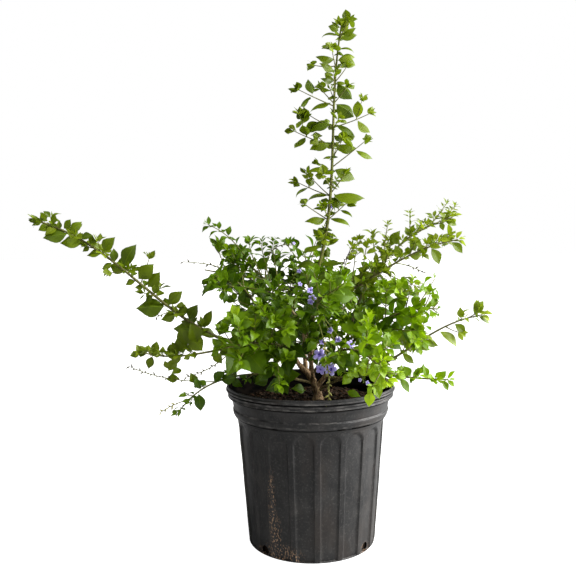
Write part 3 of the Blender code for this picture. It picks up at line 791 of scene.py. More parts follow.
def grown_together(name, limbs, voxel, bark):
    """One mesh of several limbs, with (size, height) pairs of bark relief."""
    deselect_all()
    for limb, (points, radii) in limbs.items():
        curve = bpy.data.curves.new(limb, "CURVE")
        curve.dimensions = "3D"
        curve.bevel_depth = 1.0
        curve.bevel_resolution = BEVEL_STEPS
        curve.use_fill_caps = True
        spline = curve.splines.new("POLY")
        spline.points.add(len(points) - 1)
        for corner, point, radius in zip(spline.points, points, radii):
            corner.co = (*point, 1.0)
            corner.radius = radius
        drawn = bpy.data.objects.new(limb + "_line", curve)
        bpy.context.scene.collection.objects.link(drawn)
        drawn.select_set(True)
        bpy.context.view_layer.objects.active = drawn
    bpy.ops.object.convert(target="MESH")
    bpy.ops.object.join()
    thing = bpy.context.object
    thing.name = name
    fuse = thing.modifiers.new("fuse", "REMESH")
    fuse.mode = "VOXEL"
    fuse.voxel_size = voxel
    fuse.use_smooth_shade = True
    even = thing.modifiers.new("even", "SMOOTH")
    even.iterations = SMOOTHINGS
    for size, height in bark:
        displace(thing, "relief", height, "", size)
    apply_modifiers(thing)
    return thing


wood = grown_together("wood", wood_limbs, 0.0007, ((0.012, 0.0018), (0.0024, 0.0009)))
boughs = grown_together("boughs", bough_limbs, 0.0006, ((0.010, 0.0008), (0.0020, 0.0003)))

# %% The bark's finishes
def bark_finish(name, dark, light, scar, roughness):
    """Bark: long fissures and blotches between two colours, with paler scars."""
    made, tree, shader, place = new_finish(name, roughness, 0.2)
    fissures = noise(tree, place, 0.0022, (1.0, 1.0, 3.5), 6.0)
    colour = blend(tree, between(tree, fissures, 0.38, 0.62), dark, light)
    scars = patches(tree, place, 0.004, 0.60, 0.70, 0.7, (1.5, 1.5, 0.7))
    wire(tree, shader, {"Base Color": blend(tree, scars, colour, scar)})
    relief(tree, shader, [(fissures, 0.0006), (noise(tree, place, 0.0007), 0.0001)])
    return made


old_bark = bark_finish("wood_bark", (0.110, 0.062, 0.030), (0.36, 0.24, 0.13), (0.44, 0.34, 0.22), 0.8)
young_bark = bark_finish("boughs_bark", (0.085, 0.060, 0.022), (0.21, 0.17, 0.075), (0.24, 0.21, 0.11), 0.65)
hand_over(wood, wood_limbs, [old_bark])
hand_over(boughs, bough_limbs, [young_bark])

# %% [markdown]
# ## Where leaves may grow
#
# A leaf may grow where it is within reach of its own shoot, clear of the wood and of the pot, and where
# its rough shape crosses nothing that grew before it. Search trees answer the first questions quickly.
# For the last, the rough shapes of all leaves and twigs are kept in a grid of boxes, and each new one is
# tested against its neighbours there. A rough shape is narrower and less bent than its leaf, so the
# crown can be dense, but some leaves cross. Truer shapes would keep them apart, in a thinner crown.

# %% The space of each shoot
REACH = 0.095
CLEARANCE = 0.0012
CLOSE = 0.003
NEAR_WOOD = 0.010
GRID = 0.035
# Where sky shows beside or through the crown: balls drawn out along Y, by x, y, z and radius in mm
OPEN = (
    (-177, -20, 466, 30), (-192, -20, 496, 26), (207, 0, 357, 22), (180, 0, 446, 20), (218, 0, 418, 24),
    (210, 0, 382, 20), (147, 0, 452, 14), (52, 40, 474, 17), (6, 40, 500, 10), (4, 40, 470, 11),
    (-135, -50, 385, 12), (-150, -30, 408, 13), (190, -20, 285, 12), (-166, -30, 320, 16),
    (164, -20, 262, 14), (-158, -30, 266, 16),
)
OPEN_DEPTH = 6.0
open_balls = [[n / MM for n in row] for row in OPEN]


def closely(points, radii):
    """Points and radii close together along a path."""
    for a, b, ra, rb in zip(points, points[1:], radii, radii[1:]):
        count = max(1, round((b - a).length / CLOSE))
        for i in range(count):
            yield a.lerp(b, i / count), ra + (rb - ra) * i / count
    yield points[-1], radii[-1]


def search_tree(places):
    """A search tree of points."""
    tree = KDTree(len(places))
    for i, place in enumerate(places):
        tree.insert(place, i)
    tree.balance()
    return tree


own_tree = {
    name: search_tree([point for point, _ in closely(stem, [0.0] * len(stem))])
    for name, stem in stems.items()
}
all_limbs = [*wood_limbs.values(), *bough_limbs.values()]
wood_spots = [spot for limb in all_limbs for spot in closely(*limb)]
wood_tree = search_tree([place for place, _ in wood_spots])


def clear_of_pot(point):
    """Above the rim, outside it, or inside it and above the soil."""
    radius = math.hypot(point.x, point.y)
    over = point.z > POT_HEIGHT + CLEARANCE
    outside = radius > RIM_RADIUS + CLEARANCE and point.z > 0.5 * POT_HEIGHT
    inside = radius < BAND_RADIUS - 2 * WALL - CLEARANCE and point.z > SOIL_TOP + 3 * CLEARANCE
    return over or outside or inside


def in_open(point):
    """Whether a point is where the crown is open."""
    for x, y, z, radius in open_balls:
        if math.hypot(point.x - x, (point.y - y) / OPEN_DEPTH, point.z - z) < radius:
            return True
    return False


def allowed(name, point):
    """Whether a point is within a shoot's reach and clear of the wood, the pot and the open places."""
    if own_tree[name].find(point)[2] > REACH or not clear_of_pot(point) or in_open(point):
        return False
    near_wood = wood_tree.find_range(point, NEAR_WOOD)
    return all(distance > wood_spots[i][1] + CLEARANCE for _, i, distance in near_wood)


class Crown:
    """The rough shapes of all that has grown, kept by the box of the grid that their middle is in."""

    def __init__(self):
        self.boxes = {}

    def box(self, point):
        """The box of the grid that a point is in."""
        return tuple(math.floor(c / GRID) for c in point)

    def add(self, shape, middle, size):
        """Keeps a shape."""
        self.boxes.setdefault(self.box(middle), []).append((shape, middle, size))

    def crossed(self, shape, middle, size, carrier):
        """Whether a shape crosses anything but what carries it."""
        x, y, z = self.box(middle)
        span = 1 + int(size / GRID)
        for i in range(x - span, x + span + 1):
            for j in range(y - span, y + span + 1):
                for k in range(z - span, z + span + 1):
                    for other, other_middle, other_size in self.boxes.get((i, j, k), ()):
                        close = (other_middle - middle).length < size + other_size
                        if close and other is not carrier and shape.overlap(other):
                            return True
        return False


# %% [markdown]
# ## The forms of a leaf
#
# A duranta leaf is egg-shaped and runs out to a drawn point, with a few shallow teeth. It folds along
# its midrib and its tip droops. One leaf is a small grid of points, bent by a formula, so a handful of
# forms with other widths, folds and droops is quickly made, and each is copied, turned and sized.

# %% Leaf forms
STALK = 0.12
MIDRIB = 0.010


def leaf_form(width, fold, droop, wave, twist, stations, across):
    """A leaf 1 m long on +X: its points, its faces, and for each face 0 for the blade or 1 for the rib."""
    points = []
    spine = Vector((0.0, 0.0, 0.0))
    x = 0.0
    for t, tooth in stations:
        next_x = STALK + (1.0 - STALK) * t
        slope = 0.06 + droop * (0.3 - ((x + next_x) / 2) ** 1.4)
        spine = spine + Vector((math.cos(slope), 0.0, math.sin(slope))) * (next_x - x)
        x = next_x
        wide = 0.5 * width * math.sin(math.pi * t**0.84) ** 1.2 * (1.0 + tooth)
        rib = MIDRIB * (1.0 - 0.7 * t)
        for v in across:
            y = max(wide, rib) * v if abs(v) > 0.2 else math.copysign(rib, v)
            if t >= 1.0:
                y *= 0.1
            lift = abs(y) * math.tan(fold) * (1.25 - 0.5 * abs(v))
            lift += wave * math.sin(9.0 * t + 2.2 * v) * v * v
            points.append(spine + Matrix.Rotation(twist * t, 3, "X") @ Vector((0.0, y, lift)))
    faces, looks = [], []
    wide = len(across)
    for k in range(len(stations) - 1):
        for i in range(wide - 1):
            a = k * wide + i
            faces.append((a, a + wide, a + wide + 1, a + 1))
            looks.append(1 if across[i] * across[i + 1] < 0 else 0)
    first = len(points)
    points += [Vector((0.0, side * 0.010, 0.0)) for side in (-1, 1)]
    faces.append((first, wide // 2 - 1, wide // 2, first + 1))
    looks.append(1)
    return np.array([tuple(p) for p in points]), faces, looks


FULL = ((0.0, 0.0), (0.07, 0.0), (0.18, 0.0), (0.31, 0.0), (0.44, 0.0), (0.54, 0.02), (0.61, -0.02))
FULL += ((0.69, 0.03), (0.76, -0.03), (0.84, 0.03), (0.92, -0.02), (1.0, 0.0))
FULL_ACROSS = (-1.0, -0.5, -0.1, 0.1, 0.5, 1.0)
SMALL = ((0.0, 0.0), (0.11, 0.0), (0.27, 0.0), (0.48, 0.0), (0.72, 0.0), (1.0, 0.0))
SMALL_ACROSS = (-1.0, -0.1, 0.1, 1.0)
# width, fold, droop, wave, twist
BENDS = (
    (0.46, 8, 24, 0.010, 0),
    (0.52, 16, 46, 0.016, 14),
    (0.44, 12, 64, 0.014, -12),
    (0.50, 24, 34, 0.020, 22),
    (0.55, 6, 48, 0.024, -20),
    (0.46, 20, 80, 0.018, 8),
    (0.60, 30, 30, 0.014, 10),
    (0.64, -24, 22, 0.016, -12),
    (0.56, 14, 44, 0.020, 16),
    (0.62, -12, 34, 0.018, -8),
    (0.66, -34, 76, 0.014, 8),
    (0.62, -26, 100, 0.016, -10),
    (0.70, -42, 60, 0.014, 12),
)
NARROW, BROAD, HANGING = range(6), range(6, 10), range(10, 13)
YOUNG_WIDTH = 0.66
YOUNG_DROOP = 0.5
forms = {True: [], False: []}
for width, fold, droop, wave, twist in BENDS:
    bend = [width, math.radians(fold), math.radians(droop), wave, math.radians(twist)]
    forms[True].append(leaf_form(*bend, FULL, FULL_ACROSS))
    bend[0] *= YOUNG_WIDTH
    bend[2] *= YOUNG_DROOP
    forms[False].append(leaf_form(*bend, SMALL, SMALL_ACROSS))
print(f"a large leaf has {len(forms[True][0][1])} faces, and a small one {len(forms[False][0][1])}")


# %% The form of a twig
def twig_form(points, radii, sides):
    """A tapering tube round points, closed at its tip."""
    ring = [2.0 * math.pi * i / sides for i in range(sides)]
    made, faces = [], []
    forward = (points[1] - points[0]).normalized()
    side = forward.orthogonal().normalized()
    for k, (point, radius) in enumerate(zip(points, radii)):
        if k + 1 < len(points):
            forward = (points[k + 1] - points[k]).normalized()
        side = (side - forward * side.dot(forward)).normalized()
        up = forward.cross(side)
        made += [point + radius * (math.cos(a) * side + math.sin(a) * up) for a in ring]
        if k:
            first = (k - 1) * sides
            for i in range(sides):
                j = (i + 1) % sides
                faces.append((first + i, first + j, first + sides + j, first + sides + i))
    faces.append(tuple(range(len(made) - sides, len(made))))
    return np.array([tuple(p) for p in made]), faces


# %% [markdown]
# ## How the foliage grows
#
# Leaves sit in pairs, each pair a quarter turn on from the last, with a side twig over each leaf. Side
# twigs carry smaller pairs, fork again where the crown is dense, and end in a few crowded young leaves.
# A twig or a leaf that something is in the way of is shortened, turned or left out. The same seeds give
# the same plant on every run.

# %% Growth
VIEWER = 268
LEAF_TURN_HEIGHT = 0.48
FULL_LENGTH = 0.0145
# The dark heart of the crown, where leaves are older and also painted darker as shade
HEART = Vector((0.015, 0.0, 0.33))
HEART_RADIUS = 0.17
HEART_SHADE = 0.28
# The rough shape of a leaf, in shares of its length and of its half width, and the corners of a twig's
OUTLINE = ((0.2, 0.6), (0.5, 0.95), (0.78, 0.5), (1.0, 0.0), (0.78, -0.5), (0.5, -0.95), (0.2, -0.6))
LEAF_CORNERS = ((0, 1, 2, 3, 4), (0, 4, 5, 6, 7))
STRIP_CORNERS = ((0, 1, 4, 3), (1, 2, 5, 4))
HALF_WIDTH = 0.22
SAG = 0.25
ROUGH_RADIUS = 0.55
# How a leaf is slanted, rolled and held out to the viewer
SLANTS = (0.0, 0.35, -0.35, 0.8, -0.8)
ROLL = 28
LISTED_ROLL = 12
HELD_OUT = 2.2
FACING = 4.0
# Twigs: how steep a path counts as upright, the tries to place one, and lengths in metres
NEARLY_UPRIGHT = 0.95
TRIES = 8
SHORTEST = 0.009
SHORTENED = 0.007
TWIG_STEP = 0.008
TWIG_FOOT = 0.006
TWIG_END = 0.004
AXIL = 0.002
TWIG_RADII = (0.0011, 0.0006)
# The crowded leaves at a tip: how much brighter they are, and their share of a full leaf's length
YOUNG_TONE = 0.18
TIP_SHARE = 0.46


def across_from(forward, upright):
    """A level direction across a path, or another direction where the path is nearly upright."""
    return forward.cross(UP).normalized() if abs(forward.z) < NEARLY_UPRIGHT else Vector(upright)


def add_twig(points, radii, sides, look):
    """Adds a tapering twig, which touches nothing in the crown's shapes."""
    twigs.append((*twig_form(points, tapered(points, radii), sides), look))


class Spray:
    """Everything that grows on one shoot."""

    def __init__(self, name, habit, seed):
        self.name, self.stem, self.rng = name, stems[name], random.Random(seed)
        self.leaf_length, self.longest, self.internode, self.tint, self.quarter, self.forks = habit
        self.length = (self.stem[1] - self.stem[0]).length * (len(self.stem) - 1)
        self.bends = {"leader": HANGING, "long_left": BROAD, "low_left": BROAD}.get(name, NARROW)
        self.face = heading(SHOOTS[name][2] if name.startswith("back") else VIEWER, 0)

    @staticmethod
    def low(place):
        """From 0 high in the crown to 1 near the pot, where leaves turn further to the side for light."""
        return min(max((LEAF_TURN_HEIGHT - place.z) / (LEAF_TURN_HEIGHT - POT_HEIGHT), 0.0), 1.0)

    @staticmethod
    def inside(place):
        """From 1 at the heart of the crown, where leaves are old and painted darker as shade, to 0 away from
        it.
        """
        return max(1.0 - (place - HEART).length / HEART_RADIUS, 0.0)

    def leaf(self, base, direction, length, shade, carrier=None, lean=None):
        """Adds a leaf, after a few tries at a slant where something is in its way."""
        rng = self.rng
        for slant in SLANTS:
            forward = (direction.normalized() + slant * UP).normalized()
            sky = UP + self.face * (rng.uniform(0.0, 0.5) + 0.6 * self.low(base) if lean is None else lean)
            side = sky.cross(forward)
            if side.length < 0.25:
                side = (sky + forward.orthogonal() * 0.6).cross(forward)
            side = turned(forward, rng.gauss(0, ROLL if lean is None else LISTED_ROLL)) @ side.normalized()
            frame = Matrix((forward, side, forward.cross(side))).transposed().to_4x4()
            frame.translation = base
            half = HALF_WIDTH * length
            places = [frame @ Vector((x * length, y * half, -SAG * x * x * length)) for x, y in OUTLINE]
            if not all(allowed(self.name, place) for place in places[1:6:2]):
                continue
            shape = BVHTree.FromPolygons([frame @ Vector((0.1 * length, 0.0, 0.0)), *places], LEAF_CORNERS)
            middle = places[0].lerp(places[4], 0.5)
            radius = ROUGH_RADIUS * length
            if not crown_shapes.crossed(shape, middle, radius, carrier):
                crown_shapes.add(shape, middle, radius)
                bends = self.bends if length > FULL_LENGTH else NARROW
                if bends is NARROW and (lean or 0.0) > HELD_OUT:
                    bends = BROAD
                # Darker towards the heart of the crown: older leaves, and painted shade
                tone = shade - HEART_SHADE * self.inside(base)
                leaves.append((frame, length, ROWS[self.name], tone, rng.choice(bends)))
                return
        tally["left out"] += 1

    def tip(self, end, forward, size, shade, carrier=None):
        """The crowded young leaves at a tip."""
        side = forward.orthogonal().normalized()
        spin = self.rng.uniform(0, 90)
        for pair in range(2):
            for sign in (1, -1):
                aim = turned(forward, spin + 90 * pair) @ side * sign * (1.0 - 0.4 * pair) + forward
                length = size * (1.0 - 0.25 * pair) * self.rng.uniform(0.7, 1.2)
                self.leaf(end - forward * 0.003 * (1 - pair), aim, length, shade + YOUNG_TONE, carrier)

    def twig(self, base, direction, length, level, carrier=None):
        """Adds a side twig that bends up a little, with pairs of leaves, forks and a leafy tip."""
        rng = self.rng
        lift = rng.uniform(0.05, 0.35)
        for _ in range(TRIES):
            if length < SHORTEST:
                return
            count = max(3, round(length / TWIG_STEP))
            points = [base]
            for i in range(count):
                points.append(points[-1] + (direction + UP * lift * i / count).normalized() * length / count)
            line = (points[1], points[count // 2], points[-1])
            shape = BVHTree.FromPolygons([*line, *(p + 0.001 * UP for p in line)], STRIP_CORNERS)
            middle = (points[0] + points[-1]) / 2
            free = all(allowed(self.name, point) for point in points[2:])
            if free and not crown_shapes.crossed(shape, middle, length / 2, carrier):
                break
            length -= SHORTENED
        else:
            return
        crown_shapes.add(shape, middle, length / 2)
        add_twig(points, TWIG_RADII, 5 if level == 1 else 4, min(level, 2))
        spacing = self.internode * (0.72 if level == 1 else 0.55)
        pairs = max(1, int((length - TWIG_FOOT) / spacing))
        shade = self.tint + rng.gauss(0.0, 0.08)
        turn = rng.uniform(-45, 45)
        for k in range(pairs):
            root, forward = along(points, 1.0 - (TWIG_END + k * spacing) / length)
            out = turned(forward, turn + 90 * k) @ across_from(forward, (1.0, 0.0, 0.0))
            size = self.leaf_length * min(0.52 + 0.24 * k, 1.0) * (1.0 if level == 1 else 0.8)
            for sign in (1, -1):
                tone = shade + 0.10 - 0.06 * k
                self.leaf(root, out * sign + forward * 0.6, size * rng.uniform(0.75, 1.15), tone, shape)
                if level < 3 and k and rng.random() < self.forks / level:
                    aim = (out * sign + forward * 0.8).normalized()
                    self.twig(root + forward * 0.001, aim, length * rng.uniform(0.3, 0.6), level + 1, shape)
        self.tip(points[-1], forward_of(points), self.leaf_length * TIP_SHARE, shade, shape)

    def aimed(self, place, angle, depth):
        """A point on the stem, by hundredths, and a direction by its angle in the view, 90 for up."""
        a = math.radians(angle)
        return along(self.stem, place / 100)[0], Vector((math.cos(a), depth, math.sin(a))).normalized()

    def listed(self, facing, leaf_list, twig_list):
        """The leaves and twigs whose place is known."""
        rng = self.rng
        for *ends, lean in facing:
            foot, tip = in_metres(ends[:3]), in_metres(ends[3:])
            way = tip - foot
            # Facing leaves are painted lighter: pale leaves, and painted light on those that sit in shade
            self.leaf(foot, way, way.length, self.tint + rng.gauss(0.16, 0.10), None, lean)
            if lean > FACING:
                keep_clear(foot.lerp(tip, 0.5))
        for place, angle, length in leaf_list:
            base, direction = self.aimed(place, angle, rng.uniform(-0.25, 0.15))
            lean = rng.uniform(*LEANS.get(self.name, LEAN))
            self.leaf(base, direction, length / MM, self.tint + rng.gauss(0.0, 0.06), None, lean)
        for place, angle, length in twig_list:
            base, direction = self.aimed(place, angle, rng.uniform(-0.35, 0.35))
            self.twig(base, direction, length / MM, 1)

    def sprig(self, place, bend, end, size):
        """A thin twig whose bend and end are known, with pairs of leaves and a leafy tip."""
        rng = self.rng
        points = bent(along(self.stem, place / 100)[0], in_metres(bend), in_metres(end))
        add_twig(points, TWIG_RADII, 5, 1)
        length = path_length(points)
        spacing = 0.55 * size
        turn = rng.uniform(-40, 40)
        for k in range(int(0.75 * length / spacing)):
            root, forward = along(points, 1.0 - (TWIG_END + k * spacing) / length)
            out = turned(forward, turn + 90 * k) @ forward.cross(self.face).normalized()
            for sign in (1, -1):
                self.leaf(root, out * sign + forward * 0.5, size * rng.uniform(0.75, 1.1), self.tint + 0.1)
        self.tip(points[-1], forward_of(points), 0.75 * size, self.tint + 0.05)

    def in_depth(self):
        """Pairs that point towards and away from the viewer, where the other leaves are listed."""
        rng = self.rng
        count = int(self.length / (0.8 * self.internode))
        for k in range(3, count):
            base, forward = along(self.stem, k / count)
            for sign, share in ((1, 0.45), (-1, 1.0)):
                stray = heading(rng.uniform(0, 360), rng.uniform(-20, 40))
                aim = sign * self.face + 0.4 * forward + stray * 0.35
                size = share * self.leaf_length * (1.0 - 0.4 * k / count) * rng.uniform(0.6, 1.0)
                self.leaf(base, aim, size, self.tint + rng.gauss(0.0, 0.08), None, rng.uniform(-0.3, 0.6))
                if k % 2:
                    reach = self.longest * rng.uniform(0.5, 1.0)
                    self.twig(base + forward * AXIL, aim.normalized(), reach, 1)

    def grow(self, placed):
        """Pairs of leaves and twigs from the foot of the stem to its tip, fewer where leaves are placed."""
        rng = self.rng
        distance, k = 0.3 * self.internode, 0
        while distance < self.length - 0.010:
            place = distance / self.length
            base, forward = along(self.stem, place)
            turn = rng.gauss(0, 16) if placed else self.quarter + 90 * k + rng.gauss(0, 10)
            out = turned(forward, turn) @ across_from(forward, (0.0, 1.0, 0.0))
            size = self.leaf_length * (1.0 - 0.45 * place**3) * (0.75 if placed else 1.0)
            reach = self.longest * (1.0 - 0.6 * place**2) * (0.5 if placed else 1.0)
            shade = self.tint + 0.08 * place + rng.gauss(0.0, 0.05)
            # Leaves on the shoot itself, deep in the crown, are a shade darker: older leaves, and painted
            # shade
            for sign in (1, -1):
                self.leaf(base, out * sign + forward * 0.25, size * rng.uniform(0.7, 1.08), shade - 0.12)
                aim = out * sign * 0.8 + forward * 0.65 + (1 - abs(forward.z)) * 0.25 * UP
                self.twig(base + forward * AXIL, aim.normalized(), reach * rng.uniform(0.6, 1.15), 1)
            sparser = 1.5 if placed else 1.0
            distance += self.internode * sparser * (1.0 - 0.4 * place**2) * rng.uniform(0.9, 1.1)
            k += 1


def path_length(points):
    """How long a path is."""
    return sum((b - a).length for a, b in zip(points, points[1:]))


def forward_of(points):
    """The direction in which a path ends."""
    return (points[-1] - points[-2]).normalized()


# %% [markdown]
# The shoots that stand clear of the crown are known leaf by leaf. Each such leaf and twig has a place
# along its stem, an angle as the viewer sees it, and a length. The large leaves at the front are known
# by the places of their foot and their tip.

# %% Leaves and twigs with a known place
# Place along the stem in hundredths, angle in the view, length in millimetres
LEAF_LIST = {
    "leader": (
        (96, 175, 34), (96, 10, 31), (91, 335, 30), (91, 150, 12), (87, 186, 37), (87, 350, 37),
        (83, 170, 16), (79, 165, 26), (79, 318, 42), (71, 192, 44), (71, 328, 42), (63, 190, 46),
        (63, 335, 44), (55, 182, 44), (55, 357, 42), (46, 183, 48), (46, 342, 46), (36, 184, 44),
        (36, 358, 60), (27, 180, 42), (27, 350, 44), (17, 176, 42), (17, 340, 30), (9, 10, 42),
        (9, 175, 42), (99, 160, 20), (99, 30, 18), (83, 60, 14), (79, 330, 20), (79, 150, 24),
        (67, 120, 12), (59, 330, 18), (51, 190, 18), (42, 320, 20), (42, 200, 18), (33, 215, 22),
        (33, 310, 18), (22, 200, 22), (22, 320, 22), (4, 160, 30), (4, 20, 30),
    ),
    "long_left": (
        (99, 225, 17), (97, 140, 14), (95, 140, 14), (95, 40, 14), (93, 175, 19), (93, 207, 16),
        (86, 168, 43), (82, 137, 28), (86, 47, 28), (82, 12, 25), (79, 180, 42), (71, 184, 28),
        (71, 51, 36), (65, 94, 25), (61, 60, 49), (54, 43, 41), (49, 49, 37), (50, 180, 16), (38, 184, 53),
        (30, 97, 28), (28, 58, 33), (20, 174, 53), (21, 65, 37), (59, 155, 33), (38, 45, 35), (90, 95, 15),
        (90, 215, 22), (77, 85, 20), (77, 220, 16), (66, 215, 22), (54, 200, 20), (45, 75, 22),
        (45, 215, 20), (33, 200, 30), (25, 215, 24), (14, 70, 36), (14, 190, 38), (8, 60, 36), (7, 200, 34),
        (3, 90, 34),
    ),
    "low_left": (
        (100, 197, 18), (99, 140, 13), (94, 167, 23), (91, 73, 23), (91, 250, 25), (78, 90, 21),
        (59, 338, 19), (68, 104, 35), (53, 128, 42), (47, 310, 27), (72, 113, 26), (45, 51, 25),
    ),
    "trailing_left": (
        (60, 13, 30), (65, 47, 28), (70, 143, 17), (72, 346, 21), (78, 276, 33), (76, 113, 26),
        (68, 326, 19), (55, 135, 19), (51, 323, 26),
    ),
    "low_right": (
        (94, 56, 31), (97, 326, 24), (93, 323, 17), (88, 51, 11), (80, 113, 26), (80, 320, 27),
        (68, 320, 43), (56, 326, 25), (44, 355, 38), (68, 135, 19), (38, 320, 27),
    ),
    "trailing_right": (
        (81, 107, 23), (90, 45, 19), (93, 302, 21), (60, 317, 42), (54, 302, 32), (66, 124, 24),
    ),
    "upper_right": (
        (85, 126, 24), (80, 241, 22), (81, 298, 34), (95, 313, 28), (94, 40, 14), (96, 349, 18),
        (65, 309, 25), (60, 113, 27), (71, 119, 22),
    ),
    "upper_right_back": (
        (90, 288, 17), (93, 337, 24), (94, 356, 26), (94, 30, 15), (81, 135, 10), (72, 107, 19),
        (65, 112, 20), (62, 338, 29), (57, 149, 21), (51, 319, 19),
    ),
    "upper_left": ((93, 148, 17), (85, 171, 24), (81, 203, 28), (69, 112, 34), (65, 225, 23), (56, 43, 35)),
}
# The six numbers of foot and tip, in millimetres, and how far the blade leans towards the viewer
FACING_LEAVES = {
    "leader": (
        (54, 8, 838, 70, 4, 848, 1.0), (54, 8, 838, 34, 4, 850, 1.0), (56, 9, 848, 66, 6, 862, 0.6),
        (56, 9, 848, 44, 6, 862, 0.6), (53, 8, 826, 84, 0, 834, 1.6), (52, 8, 818, 22, 0, 812, 1.6),
        (49, 7, 790, 82, 0, 800, 1.4), (47, 7, 772, 20, 0, 790, 1.4),
    ),
    "long_left": (
        (-428, -28, 534, -444, -34, 528, 2.5), (-424, -28, 532, -428, -32, 550, 2.5),
        (-416, -27, 529, -434, -34, 520, 2.5), (-412, -27, 528, -408, -30, 548, 2.5),
        (-404, -26, 524, -424, -34, 512, 2.5), (-396, -26, 521, -382, -30, 538, 2.5),
    ),
    "low_left": (
        (-214, -52, 302, -214, -60, 324, 3.5), (-196, -48, 330, -206, -60, 365, 3.0),
        (-180, -45, 336, -190, -60, 372, 3.0), (-168, -40, 338, -176, -60, 300, 3.0),
        (-204, -50, 296, -222, -60, 290, 2.0), (-226, -52, 296, -232, -58, 312, 2.5),
        (-214, -45, 314, -227, -55, 294, 4.0), (-209, -50, 283, -231, -55, 281, 3.5),
        (-183, -45, 272, -192, -55, 292, 3.5), (-176, -45, 272, -166, -55, 262, 3.5),
    ),
    "trailing_left": (
        (-66, -30, 280, -91, -50, 271, 2.4), (-45, -35, 272, -73, -65, 263, 3.0),
        (-50, -40, 275, -37, -75, 259, 3.0), (-48, -30, 278, -16, -50, 286, 3.2),
        (-8, -50, 259, -32, -62, 265, 2.5), (-30, -20, 274, -43, -30, 296, 2.0),
    ),
    "front_left": (
        (-107, -100, 342, -128, -128, 298, 4.5), (-107, -105, 342, -68, -132, 300, 4.5),
        (-54, -90, 357, -86, -110, 341, 3.0), (-19, -75, 313, -62, -90, 317, 2.0),
        (-104, -100, 370, -118, -115, 354, 3.0), (-104, -100, 370, -81, -115, 356, 3.0),
        (-104, -100, 370, -122, -105, 377, 2.0), (-104, -100, 370, -93, -105, 390, 2.0),
        (-87, -90, 332, -100, -100, 321, 3.0), (-76, -85, 328, -54, -100, 334, 2.5),
    ),
    "front_right": (
        (86, -130, 276, 82, -140, 252, 4.0), (74, -125, 284, 54, -130, 275, 2.5),
        (87, -125, 281, 110, -120, 287, 2.5), (92, -120, 283, 106, -125, 264, 3.0),
        (60, -115, 299, 44, -125, 283, 2.5), (66, -115, 302, 88, -120, 293, 2.5),
        (71, -120, 292, 67, -120, 307, 1.5), (53, -85, 265, 75, -100, 259, 2.0),
        (84, -110, 311, 109, -115, 307, 2.5),
    ),
    "front": (
        (-43, -110, 383, -60, -120, 372, 2.5), (-43, -110, 383, -22, -120, 373, 2.5),
        (-43, -110, 383, -52, -115, 401, 2.0), (-43, -110, 383, -28, -115, 396, 2.0),
        (-30, -100, 375, -36, -110, 339, 3.5), (45, -110, 335, 50, -120, 313, 3.5),
        (81, -100, 339, 89, -110, 316, 3.5), (9, -110, 347, -9, -120, 332, 2.5),
        (40, -105, 317, 19, -95, 306, 1.5),
    ),
}
TWIG_LIST = {
    "leader": (
        (85, 188, 40), (79, 46, 32), (71, 135, 34), (70, 160, 66), (71, 48, 34), (62, 158, 50),
        (62, 14, 64), (54, 144, 60), (55, 163, 70), (55, 32, 40), (47, 36, 70), (45, 150, 40),
        (36, 158, 64), (36, 138, 46), (37, 50, 42), (30, 56, 36), (27, 148, 48), (27, 40, 50),
        (18, 150, 56), (17, 35, 66), (10, 150, 60), (10, 30, 60),
    ),
    "long_left": ((52, 72, 46), (60, 190, 24), (75, 170, 14), (72, 100, 20), (33, 60, 24)),
    "low_right": ((60, 60, 30), (90, 30, 20), (74, 330, 24)),
    "upper_right_back": ((70, 80, 26),),
    "upper_right": ((45, 330, 60),),
}
# shoot, place along its stem in hundredths, then bend, end and leaf length in millimetres
SPRIGS = (
    ("upper_left", 62, (-121, -30, 511), (-162, -35, 526), 20),
    ("upper_left", 45, (-100, -30, 486), (-95, -30, 499), 22),
    ("upper_left", 30, (-80, 10, 484), (-78, 20, 497), 22),
    ("upper_left", 15, (-62, 20, 480), (-59, 20, 499), 20),
    ("upper_right", 10, (60, -10, 472), (71, -10, 490), 19),
    ("upper_right", 20, (80, 20, 482), (84, 30, 501), 19),
    ("upper_right", 28, (92, 0, 475), (97, 0, 495), 21),
    ("upper_right_back", 35, (108, 30, 490), (110, 30, 509), 21),
    ("upper_right", 45, (126, 0, 502), (131, 0, 526), 13),
    ("upper_right_back", 65, (176, 50, 536), (176, 50, 546), 12),
    ("upper_right_back", 82, (235, 60, 552), (242, 60, 562), 14),
    ("upper_right_back", 92, (250, 60, 550), (257, 60, 557), 12),
)

# %% [markdown]
# ## Flowers
#
# A duranta flower is a short violet tube that opens into five round lobes, with a darker throat. It could
# be spun from a profile and cut into lobes. Here a grid of rings and angles is drawn in between the
# lobes by one formula. Flowers sit in calyces along thin racemes that bend over under their weight, and
# what has flowered is left brown. Nothing may grow between an open flower and the viewer.

# %% Flower forms
VIOLET, THROAT, PALE, GREEN, DRIED, WILTED, STRAW = range(7)
ANGLES = 30
# how far out and how far forward each ring is, for a flower 1 m wide, and the look of the band before it
BLOOM_RINGS = (
    (0.05, -0.50, None), (0.07, -0.12, VIOLET), (0.12, -0.01, THROAT),
    (0.26, 0.05, VIOLET), (0.42, 0.05, VIOLET), (0.50, 0.00, PALE),
)


def bloom_form():
    """A flower 1 m wide that opens towards +X: its points, its faces and each face's look."""
    points, faces, looks = [], [], []
    for k, (out, forward, look) in enumerate(BLOOM_RINGS):
        for i in range(ANGLES):
            a = 2.0 * math.pi * i / ANGLES
            notch = 1.0 - abs(math.cos(2.5 * a)) ** 0.6
            radius = out * (1.0 - 0.9 * notch * out)
            points.append((forward - 0.12 * notch * out, radius * math.cos(a), radius * math.sin(a)))
            if k:
                first, second = (k - 1) * ANGLES + i, (k - 1) * ANGLES + (i + 1) % ANGLES
                faces.append((first, first + ANGLES, second + ANGLES, second))
                looks.append(look)
    return np.array(points), faces, looks


bloom = bloom_form()
bud = twig_form([Vector((x, 0.0, 0.0)) for x in (0.0, 0.25, 0.6, 1.0)], (0.08, 0.20, 0.18, 0.05), 5)

